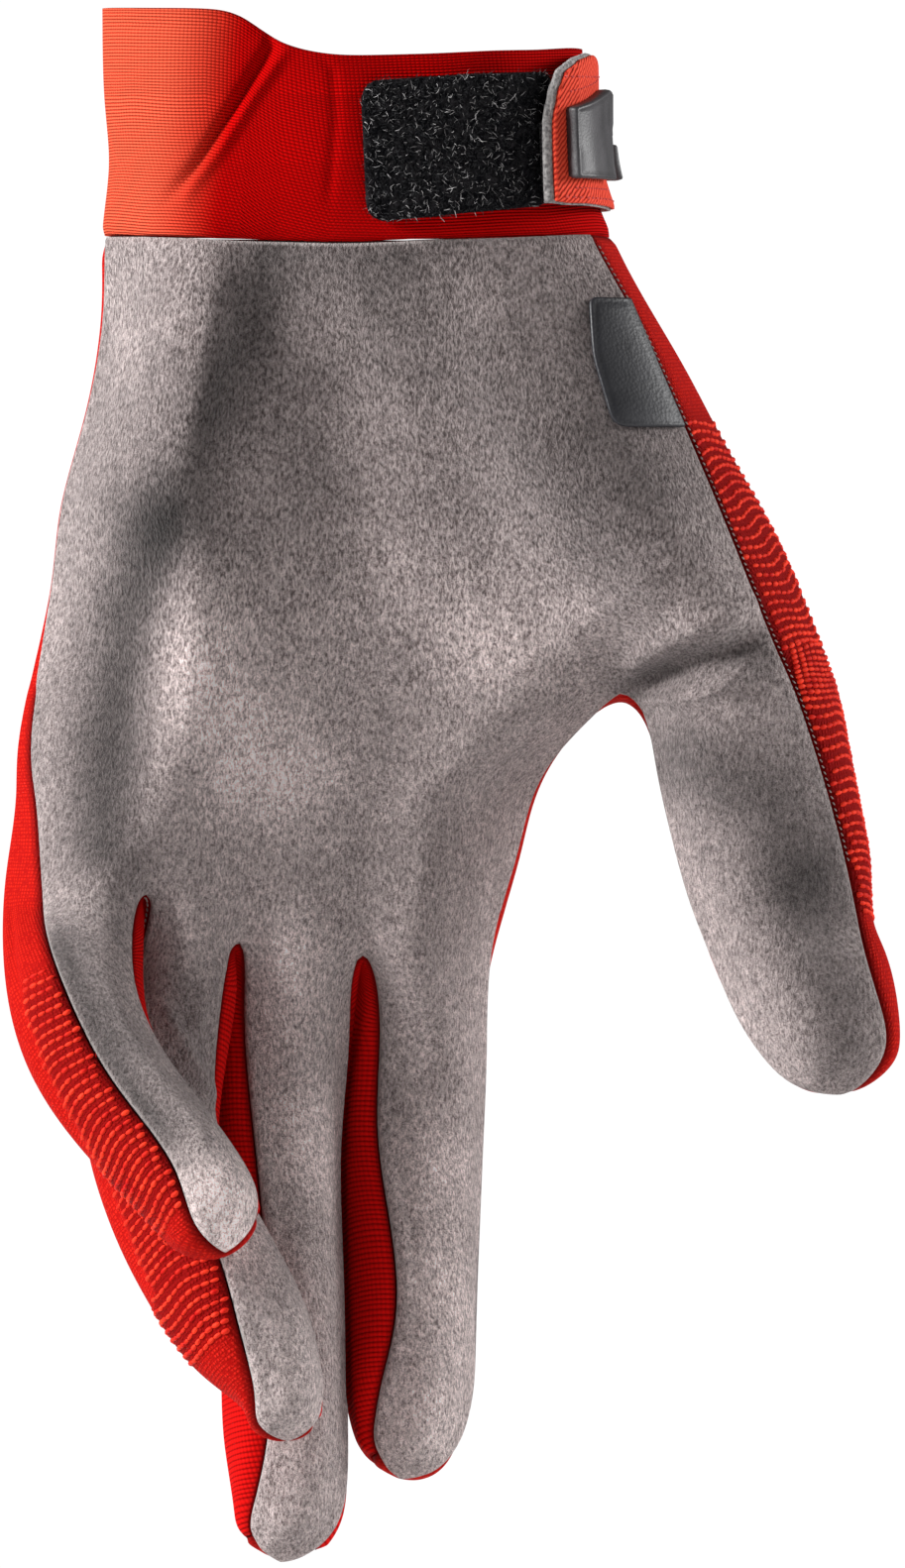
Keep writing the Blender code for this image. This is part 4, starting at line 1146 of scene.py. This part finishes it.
class Look:
    """A material being built, with short names for its nodes."""

    def __init__(self, name, roughness, sheen=0.0, sheen_roughness=0.5, specular=0.5):
        self.material = bpy.data.materials.new(name)
        self.material.use_nodes = True
        self.tree = self.material.node_tree
        self.shader = self.tree.nodes["Principled BSDF"]
        self.shader.inputs["Roughness"].default_value = roughness
        self.shader.inputs["Sheen Weight"].default_value = sheen
        self.shader.inputs["Sheen Roughness"].default_value = sheen_roughness
        self.shader.inputs["Specular IOR Level"].default_value = specular
        self.place = self.node("ShaderNodeTexCoord").outputs["Object"]
        self.relief = None

    def node(self, kind, **settings):
        made = self.tree.nodes.new(kind)
        for key, value in settings.items():
            setattr(made, key, value)
        return made

    def join(self, value, socket):
        if isinstance(value, bpy.types.NodeSocket):
            self.tree.links.new(value, socket)
        else:
            socket.default_value = value

    def math(self, operation, *values):
        made = self.node("ShaderNodeMath", operation=operation)
        for value, socket in zip(values, made.inputs):
            self.join(value, socket)
        return made.outputs[0]

    def both(self, first, share, second, other_share):
        """Two values added, each times its share."""
        parts = self.math("MULTIPLY", first, share), self.math("MULTIPLY", second, other_share)
        return self.math("ADD", *parts)

    def mark(self, name):
        return self.node("ShaderNodeAttribute", attribute_name=name).outputs["Fac"]

    def cloth(self):
        """Metres round and metres along, from the piece's own map."""
        split = self.node("ShaderNodeSeparateXYZ")
        self.join(self.node("ShaderNodeUVMap", uv_map="cloth").outputs[0], split.inputs[0])
        return split.outputs[0], split.outputs[1]

    def stretched(self, scale, turn):
        made = self.node("ShaderNodeMapping")
        self.join(self.place, made.inputs["Vector"])
        made.inputs["Scale"].default_value = scale
        made.inputs["Rotation"].default_value = turn
        return made.outputs[0]

    def noise(self, scale, detail, vector=None):
        made = self.node("ShaderNodeTexNoise")
        self.join(self.place if vector is None else vector, made.inputs["Vector"])
        made.inputs["Scale"].default_value = scale
        made.inputs["Detail"].default_value = detail
        made.inputs["Roughness"].default_value = 0.5
        return made.outputs[0]

    def cells(self, scale):
        made = self.node("ShaderNodeTexVoronoi")
        self.join(self.place, made.inputs["Vector"])
        made.inputs["Scale"].default_value = scale
        return made.outputs["Distance"]

    def between(self, value, low, high):
        """0 at low, 1 at high."""
        made = self.node("ShaderNodeMapRange", clamp=True)
        for key, number in (("Value", value), ("From Min", low), ("From Max", high)):
            self.join(number, made.inputs[key])
        return made.outputs[0]

    def mix(self, share, first, second):
        made = self.node("ShaderNodeMix", data_type="RGBA")
        for number, value in ((0, share), (6, first), (7, second)):
            if isinstance(value, tuple) and len(value) == 3:
                value = (*value, 1.0)
            self.join(value, made.inputs[number])
        return made.outputs[2]

    def over(self, colour, other, share, strength):
        """The colour, with the other one over it where share is above 0."""
        return self.mix(self.math("MULTIPLY", share, strength), colour, other)

    def toned(self, colour, tone_and_painted_light):
        """The colour times a grey of the given value."""
        grey = self.node("ShaderNodeCombineColor")
        for channel in grey.inputs:
            self.join(tone_and_painted_light, channel)
        made = self.node("ShaderNodeMix", data_type="RGBA", blend_type="MULTIPLY")
        for number, value in ((0, 1.0), (6, colour), (7, grey.outputs[0])):
            self.join(value, made.inputs[number])
        return made.outputs[2]

    def wave(self, value, pitch):
        """Rounded ridges from 0 to 1, one for each pitch of value."""
        return self.math("ABSOLUTE", self.math("SINE", self.math("MULTIPLY", value, pi / pitch)))

    def bump(self, height, metres, strength=1.0):
        made = self.node("ShaderNodeBump")
        made.inputs["Strength"].default_value = strength
        made.inputs["Distance"].default_value = metres
        self.join(height, made.inputs["Height"])
        if self.relief is not None:
            self.join(self.relief, made.inputs["Normal"])
        self.relief = made.outputs[0]

    def finish(self, colour):
        self.join(colour, self.shader.inputs["Base Color"])
        if self.relief is not None:
            self.join(self.relief, self.shader.inputs["Normal"])
        return self.material


def suede_look():
    look = Look("suede", 0.95, sheen=0.2, sheen_roughness=0.45, specular=0.1)
    nap_slant_and_painted_light = look.stretched((1.0, 1.0, 0.5), (0.0, radians(-24), 0.0))
    coarse = look.noise(2400, 2.0, nap_slant_and_painted_light)
    fine = look.noise(5600, 2.0)
    soft = look.noise(75, 2.0)
    nap = look.mark("nap")
    fine_share = 0.55
    grain = look.both(coarse, nap, fine, fine_share)
    grain = look.math("DIVIDE", grain, look.math("ADD", nap, fine_share))
    colour = look.mix(look.between(grain, 0.36, 0.64), (0.14, 0.102, 0.098), (0.80, 0.675, 0.66))
    clumps = look.between(look.noise(620, 2.0), -0.6, 1.1)
    # random tone, times the painted light and shade of the bands
    tone_and_painted_light = look.math("MULTIPLY", look.between(soft, -0.9, 1.0), look.mark("nap_slant_and_painted_light"))
    tone_and_painted_light = look.math("MULTIPLY", tone_and_painted_light, look.math("MULTIPLY", clumps, 1.5))
    edge = look.between(look.mark("apart"), 0.0007, 0.0001)
    colour = look.over(look.toned(colour, tone_and_painted_light), (0.62, 0.57, 0.55), edge, 0.55)
    look.bump(grain, 0.0016, 1.0)
    return look.finish(colour)


def mesh_look():
    look = Look("stretch_mesh", 0.75, specular=0.06)
    around, along = look.cloth()
    weave = look.math("MULTIPLY", look.wave(around, 0.00062), look.wave(along, 0.00062))
    pores = look.between(look.noise(1500, 1.0), 0.35, 0.55)
    height = look.math("MULTIPLY", weave, pores)
    # painted shadow: the red goes dark within 1.6 mm of its seam, beside the suede's edge
    seam = look.between(look.mark("apart"), 0.0016, 0.0003)
    # painted shade: the weave's pits darker red than its threads
    colour = look.mix(look.between(height, 0.0, 0.8), (0.33, 0.002, 0.001), (0.60, 0.012, 0.005))
    # painted shade: the cloth between the raised knots near black red, as if in their shadow
    colour = look.over(colour, (0.20, 0.0008, 0.0008), look.mark("rows"), 0.9)
    colour = look.over(colour, (0.12, 0.0005, 0.0005), seam, 0.85)
    look.bump(height, 0.00022, 0.8)
    look.bump(look.noise(5200, 1.0), 0.0001, 0.3)
    return look.finish(colour)


def knot_look():
    look = Look("mesh_knots", 0.6, specular=0.12)
    look.bump(look.noise(3800, 2.0), 0.00012, 0.6)
    shade = look.between(look.noise(420, 2.0), 0.3, 0.7)
    return look.finish(look.mix(shade, (0.48, 0.002, 0.001), (0.90, 0.045, 0.015)))


def gusset_look():
    look = Look("ribbed_knit", 0.85, specular=0.05)
    around, along = look.cloth()
    ribs = look.math("POWER", look.wave(along, 0.00085), 0.8)
    loops = look.wave(around, 0.0006)
    height = look.both(ribs, 0.75, loops, 0.25)
    # painted shade: the knit goes dark within 1 mm of its seams, where it dips between the fingers
    seam = look.between(look.mark("apart"), 0.001, 0.0002)
    colour = look.mix(height, (0.20, 0.0006, 0.0008), (0.62, 0.004, 0.003))
    colour = look.over(colour, (0.08, 0.0004, 0.0005), seam, 0.6)
    look.bump(height, 0.0003, 0.8)
    return look.finish(colour)


def cuff_look():
    look = Look("moulded_knit", 0.75, specular=0.03)
    around, along = look.cloth()
    uneven = look.math("ADD", along, look.math("MULTIPLY", look.noise(60, 1.0), 0.0009))
    ribs = look.wave(uneven, 0.00050)
    loops = look.wave(around, 0.0007)
    height = look.both(ribs, 0.8, loops, 0.2)
    # painted light and shade: a lit copy of the red and a shaded copy, mixed by the painted-light mark
    light = look.mix(height, (0.46, 0.014, 0.006), (0.86, 0.125, 0.060))
    shaded_red = look.mix(height, (0.26, 0.0002, 0.0002), (0.58, 0.0006, 0.0006))
    look.bump(height, 0.0004, 0.9)
    return look.finish(look.mix(look.mark("tone_and_painted_light"), shaded_red, light))


def lining_look(name, low, high):
    look = Look(name, 0.9, sheen=0.2, specular=0.2)
    grid = look.cells(1600)
    look.bump(grid, 0.0002, 0.5)
    return look.finish(look.mix(look.between(grid, 0.1, 0.8), low, high))


def pile_look():
    look = Look("loop_pile", 0.95, specular=0.1)
    tufts = look.cells(1500)
    clumps = look.noise(900, 3.0)
    height = look.both(tufts, 0.6, clumps, 0.6)
    colour = look.mix(look.between(clumps, 0.45, 0.75), (0.002, 0.002, 0.003), (0.02, 0.018, 0.02))
    look.bump(height, 0.0008, 1.0)
    return look.finish(colour)


def fibre_look(name, low, high):
    look = Look(name, 0.75, specular=0.3)
    return look.finish(look.mix(look.between(look.noise(700, 1.0), 0.35, 0.65), low, high))


def strap_look():
    look = Look("strap_knit", 0.7, specular=0.15)
    around, along = look.cloth()
    ribs = look.wave(look.math("ADD", around, along), 0.0009)
    height = look.math("ADD", ribs, look.math("MULTIPLY", look.noise(1500, 2.0), 0.5))
    colour = look.mix(look.between(height, 0.2, 1.2), (0.56, 0.012, 0.006), (0.88, 0.085, 0.04))
    look.bump(height, 0.00028, 0.9)
    return look.finish(colour)


def felt_look():
    look = Look("strap_felt", 0.95, sheen=0.3, specular=0.15)
    fuzz = look.noise(1700, 3.0)
    look.bump(fuzz, 0.0006, 0.8)
    return look.finish(look.mix(look.between(fuzz, 0.35, 0.65), (0.16, 0.15, 0.15), (0.42, 0.40, 0.39)))


def hook_look():
    look = Look("hook_pad", 0.5, specular=0.4)
    around, along = look.cloth()
    grid = look.math("MULTIPLY", look.wave(around, 0.0007), look.wave(along, 0.0007))
    look.bump(grid, 0.0004, 1.0)
    return look.finish(look.mix(grid, (0.02, 0.018, 0.02), (0.13, 0.12, 0.12)))


def rubber_look():
    look = Look("rubber", 0.5, specular=0.45)
    grain = look.noise(2600, 2.0)
    worn = look.noise(210, 3.0)
    look.bump(grain, 0.00008, 0.6)
    colour = look.mix(look.between(worn, 0.35, 0.7), (0.030, 0.028, 0.031), (0.052, 0.048, 0.053))
    look.join(look.math("ADD", look.math("MULTIPLY", worn, 0.2), 0.38), look.shader.inputs["Roughness"])
    return look.finish(colour)


def leatherette_look():
    look = Look("smooth_patch", 0.45, specular=0.5)
    grain = look.cells(1900)
    worn = look.noise(160, 3.0)
    look.bump(grain, 0.00006, 0.6)
    colour = look.mix(look.between(worn, 0.3, 0.7), (0.010, 0.010, 0.013), (0.020, 0.020, 0.025))
    look.join(look.math("ADD", look.math("MULTIPLY", worn, 0.25), 0.36), look.shader.inputs["Roughness"])
    return look.finish(colour)


def thread_look(name, low, high):
    look = Look(name, 0.7, sheen=0.2, specular=0.3)
    twist = look.noise(4200, 1.0)
    look.bump(twist, 0.00008, 0.6)
    return look.finish(look.mix(look.between(twist, 0.35, 0.65), low, high))


def floor_look():
    look = Look("floor", 0.8, specular=0.2)
    return look.finish(look.mix(look.noise(3.0, 2.0), (0.80, 0.80, 0.80), (0.84, 0.84, 0.84)))


def make_looks():
    gusset = gusset_look()
    return {
        "palm": suede_look(),
        "back": mesh_look(),
        "knots": knot_look(),
        "cuff": cuff_look(),
        "gusset_ring_little": gusset,
        "gusset_middle_ring": gusset,
        "gusset_index_middle": gusset,
        "lining": lining_look("lining_red", (0.30, 0.004, 0.004), (0.55, 0.02, 0.014)),
        "lining_palm": lining_look("lining_grey", (0.22, 0.20, 0.20), (0.42, 0.40, 0.39)),
        "pile": pile_look(),
        "dark_fibre": fibre_look("dark_fibre", (0.003, 0.003, 0.004), (0.020, 0.020, 0.022)),
        "light_fibre": fibre_look("light_fibre", (0.16, 0.15, 0.15), (0.62, 0.60, 0.60)),
        "strap": strap_look(),
        "felt": felt_look(),
        "hook": hook_look(),
        "rubber": rubber_look(),
        "leatherette": leatherette_look(),
        "light_thread": thread_look("light_thread", (0.15, 0.11, 0.10), (0.36, 0.29, 0.27)),
        "red_thread": thread_look("red_thread", (0.35, 0.004, 0.004), (0.75, 0.04, 0.02)),
    }


# What lies on the cuff and the palm

def inside(spot, loop):
    """Whether a spot is within a closed outline."""
    within = False
    for k in range(len(loop)):
        (ax, ay), (bx, by) = loop[k - 1], loop[k]
        if (ay > spot[1]) != (by > spot[1]):
            if spot[0] < (bx - ax) * (spot[1] - ay) / (by - ay) + ax:
                within = not within
    return within


def scattered(corners, unit_across, cast, lift, reach, count, seed):
    """Spots and normals spread over a pad's top."""
    chance = np.random.default_rng(seed)
    loop = outline(corners, unit_across, reach)
    low, high = loop.min(axis=0), loop.max(axis=0)
    spots, normals = [], []
    while len(spots) < count:
        a, d = chance.uniform(low, high)
        if inside((a, d), loop):
            spot, normal = cast(a, d)
            spots.append(spot + normal * lift)
            normals.append(normal)
    return np.array(spots), np.array(normals)


def rest_lift(_):
    return REST_GAP


def hook_lift(_):
    return HOOK_LIFT_MM / 1000


def badge_lift(turn):
    return strap_lift(turn) + STRAP_WALL + SEAM_GAP


def make_loop_patch(cast, looks):
    up = PATCH_WALL * 1000
    profile = ((0.15, 0.0), (0.0, 0.3), (0.0, up * 0.6), (0.15, up * 0.9), (0.5, up), (1.2, up))
    made = pad(LOOP_CORNERS, BREADTH * 10, cast, rest_lift, profile)
    lay("loop_pad", made, looks["pile"], "loop_patch")
    lift = REST_GAP + PATCH_WALL - 0.0001
    dark = scattered(LOOP_CORNERS, BREADTH * 10, cast, lift, -0.1, 5200, 11)
    light = scattered(LOOP_CORNERS, BREADTH * 10, cast, lift, 0.0, 750, 12)
    blades("loop_fibres_dark", *dark, 0.0010, 0.00010, looks["dark_fibre"], "loop_pile", 13)
    blades("loop_fibres_light", *light, 0.0014, 0.00007, looks["light_fibre"], "loop_pile", 14)


def make_palm_patch(cast, looks):
    up = LABEL_WALL * 1000
    profile = ((0.1, 0.0), (0.0, up * 0.5), (0.12, up * 0.9), (0.4, up), (0.7, up * 0.86), (1.0, up))
    made = pad(LABEL_CORNERS, BREADTH * 10, cast, rest_lift, profile)
    lay("palm_label", made, looks["leatherette"], "palm_patch")


def make_strap(cast, looks):
    thick = STRAP_WALL * 1000
    made = strap_layer(cast, STRAP[0].turn, 0.0, thick * 0.55, 0.0)
    lay("strap_felt", made, looks["felt"], "strap")
    made = strap_layer(cast, STRAP[0].turn + 1.9, thick * 0.5, thick, 0.12)
    lay("strap_face", made, looks["strap"], "strap")
    up = HOOK_WALL * 1000
    profile = ((0.05, 0.0), (0.0, up * 0.3), (0.0, up * 0.8), (0.15, up))
    lay("hook_tape", pad(HOOK_CORNERS, TURN_MM, cast, hook_lift, profile), looks["hook"],
        "strap_hook")


def make_badge(cast, looks):
    up = BADGE_WALL * 1000
    profile = (
        (0.2, -0.4), (0.05, 0.1), (0.0, up * 0.55), (0.1, up * 0.86), (0.3, up), (0.6, up),
        (0.8, up * 0.95),
    )
    made = pad(BADGE_CORNERS, TURN_MM, cast, badge_lift, profile)
    lay("badge_plate", made, looks["rubber"], "strap_badge")
    up = PULL_WALL * 1000
    profile = ((0.2, -0.4), (0.0, 0.2), (0.0, up * 0.7), (0.15, up * 0.93), (0.45, up))
    made = pad(PULL_CORNERS, TURN_MM, cast, badge_lift, profile)
    lay("pull_block", made, looks["rubber"], "strap_pull")


def make_strap_stitches(cast, looks):
    """Red stitches beside the badge and along the strap's edges."""
    rows = (
        ("badge_stitches_high", (62, 84), (2.7, 1.7), 0.0011),
        ("badge_stitches_low", (62, 86), (8.9, 8.9), 0.0011),
        ("strap_stitches_high", (60, 140), (1.75, 1.2), 0.0016),
        ("strap_stitches_low", (58.5, 140), (9.5, 9.7), 0.0016),
    )
    for name, turns, downs, pitch in rows:
        points, normals = [], []
        for share in np.linspace(0, 1, 400):
            turn = blend(turns[0], turns[1], share)
            spot, normal = cast(turn, blend(downs[0], downs[1], share))
            points.append(spot + normal * (strap_lift(turn) + STRAP_WALL))
            normals.append(normal)
        spots, out = evenly(np.array(points), np.array(normals), pitch)
        ways = np.gradient(spots, axis=0)
        ways /= np.linalg.norm(ways, axis=1)[:, None]
        beads(name, spots, ways, out, pitch * 0.62, 0.00032, looks["red_thread"])


def make_knots(skin, normals, border, looks):
    digit = digits_of(skin)
    shares = knuckle_rows(skin, digit)[skin.quads].mean(axis=1)
    edge = skin.points[np.unique(border[0])]
    for name, number in DIGITS.items():
        chosen = (skin.panels == BACK_PANEL) & (skin.digits == number) & (shares > 0.5)
        knot_rows(name + "_knots", skin, normals, np.flatnonzero(chosen), edge, looks["knots"])


def make_cloth(looks):
    cage = glove_cage()
    points = fitted(cage)
    skin = smoothed(points, cage, SKIN_LEVEL)
    lining = smoothed(points, cage, LINING_LEVEL)
    normals = normals_of(skin.points, skin.quads)
    lining_normals = normals_of(lining.points, lining.quads)
    borders = {}
    for number, name in enumerate(PANELS):
        borders[name] = make_panel(number, skin, normals, lining, lining_normals, looks)
    make_knots(skin, normals, borders["back"], looks)
    stitched("thumb_side_stitches", skin, normals, borders["palm"], ((600, 250), (850, 870)),
             0.00100, 0.0006, 0.00024, -0.00022, looks["light_thread"], radians(28))
    stitched("little_ring_stitches", skin, normals, borders["palm"], ((150, 902), (153, 942)),
             0.00095, 0.0006, 0.0003, -0.0002, looks["light_thread"], radians(28))
    return lining


def make_pieces():
    looks = make_looks()
    surface = make_cloth(looks)
    tree = BVHTree.FromPolygons([Vector(p) for p in surface.points], surface.quads.tolist())
    straight, around = from_the_palm_side(tree), from_round_the_cuff(tree)
    make_loop_patch(straight, looks)
    make_palm_patch(straight, looks)
    make_strap(around, looks)
    make_badge(around, looks)
    make_strap_stitches(around, looks)


# Floor, light and camera

def area_light(name, spot, size, power):
    data = bpy.data.lights.new(name, "AREA")
    data.shape = "DISK"
    data.size = size
    data.energy = power
    lamp = bpy.data.objects.new(name, data)
    bpy.context.scene.collection.objects.link(lamp)
    lamp.location = spot
    way = Vector(LAMP_TARGET) - Vector(spot)
    lamp.rotation_euler = way.to_track_quat("-Z", "Y").to_euler()


def make_stage(low):
    mesh = bpy.data.meshes.new("floor")
    corners = [
        (FLOOR_REACH * x, FLOOR_REACH * y, low) for x, y in ((-1, -1), (1, -1), (1, 1), (-1, 1))
    ]
    mesh.from_pydata(corners, [], [(0, 1, 2, 3)])
    mesh.materials.append(floor_look())
    floor = bpy.data.objects.new("floor", mesh)
    bpy.context.scene.collection.objects.link(floor)


def make_world():
    """White behind the glove, and a softer light from all round."""
    world = bpy.data.worlds.new("studio")
    bpy.context.scene.world = world
    world.use_nodes = True
    tree = world.node_tree
    seen = tree.nodes.new("ShaderNodeLightPath")
    backdrop = tree.nodes["Background"]
    backdrop.inputs["Color"].default_value = (1, 1, 1, 1)
    strength = tree.nodes.new("ShaderNodeMapRange")
    strength.inputs["To Min"].default_value = SKY_LIGHT
    strength.inputs["To Max"].default_value = SKY_SEEN
    tree.links.new(seen.outputs["Is Camera Ray"], strength.inputs["Value"])
    tree.links.new(strength.outputs[0], backdrop.inputs["Strength"])


def make_camera():
    """A camera square to the palm, that sees the photograph's frame at FOCUS_TOWARD."""
    middle = Vector((
        (PHOTO_WIDTH / 2 - PIXEL_ACROSS) * PIXEL,
        0.0,
        (PIXEL_DOWN - PHOTO_HEIGHT / 2) * PIXEL,
    ))
    data = bpy.data.cameras.new("camera")
    data.sensor_fit = "VERTICAL"
    data.sensor_height = SENSOR_MM
    data.lens = SENSOR_MM * (CAMERA_AWAY - FOCUS_TOWARD) / (PHOTO_HEIGHT * PIXEL)
    data.clip_end = 100.0
    camera = bpy.data.objects.new("camera", data)
    bpy.context.scene.collection.objects.link(camera)
    camera.location = middle + Vector((0, -CAMERA_AWAY, 0))
    camera.rotation_euler = (pi / 2, 0, 0)
    bpy.context.scene.camera = camera


def make_studio(low):
    make_stage(low - FLOOR_DROP)
    make_world()
    for name, settings in LAMPS.items():
        area_light(name, *settings)
    bpy.context.scene.view_settings.view_transform = "Standard"


def plain(box):
    return [[float(number) for number in corner] for corner in box]


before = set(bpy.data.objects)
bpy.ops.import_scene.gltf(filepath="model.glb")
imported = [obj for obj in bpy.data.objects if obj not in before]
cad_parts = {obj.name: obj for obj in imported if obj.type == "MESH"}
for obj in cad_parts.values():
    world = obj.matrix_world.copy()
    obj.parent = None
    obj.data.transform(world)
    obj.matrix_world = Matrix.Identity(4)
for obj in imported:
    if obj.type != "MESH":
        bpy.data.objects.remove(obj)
CAD_BOX = plain(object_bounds())
make_pieces()
make_studio(CAD_BOX[0][2])
make_camera()
bpy.context.view_layer.update()
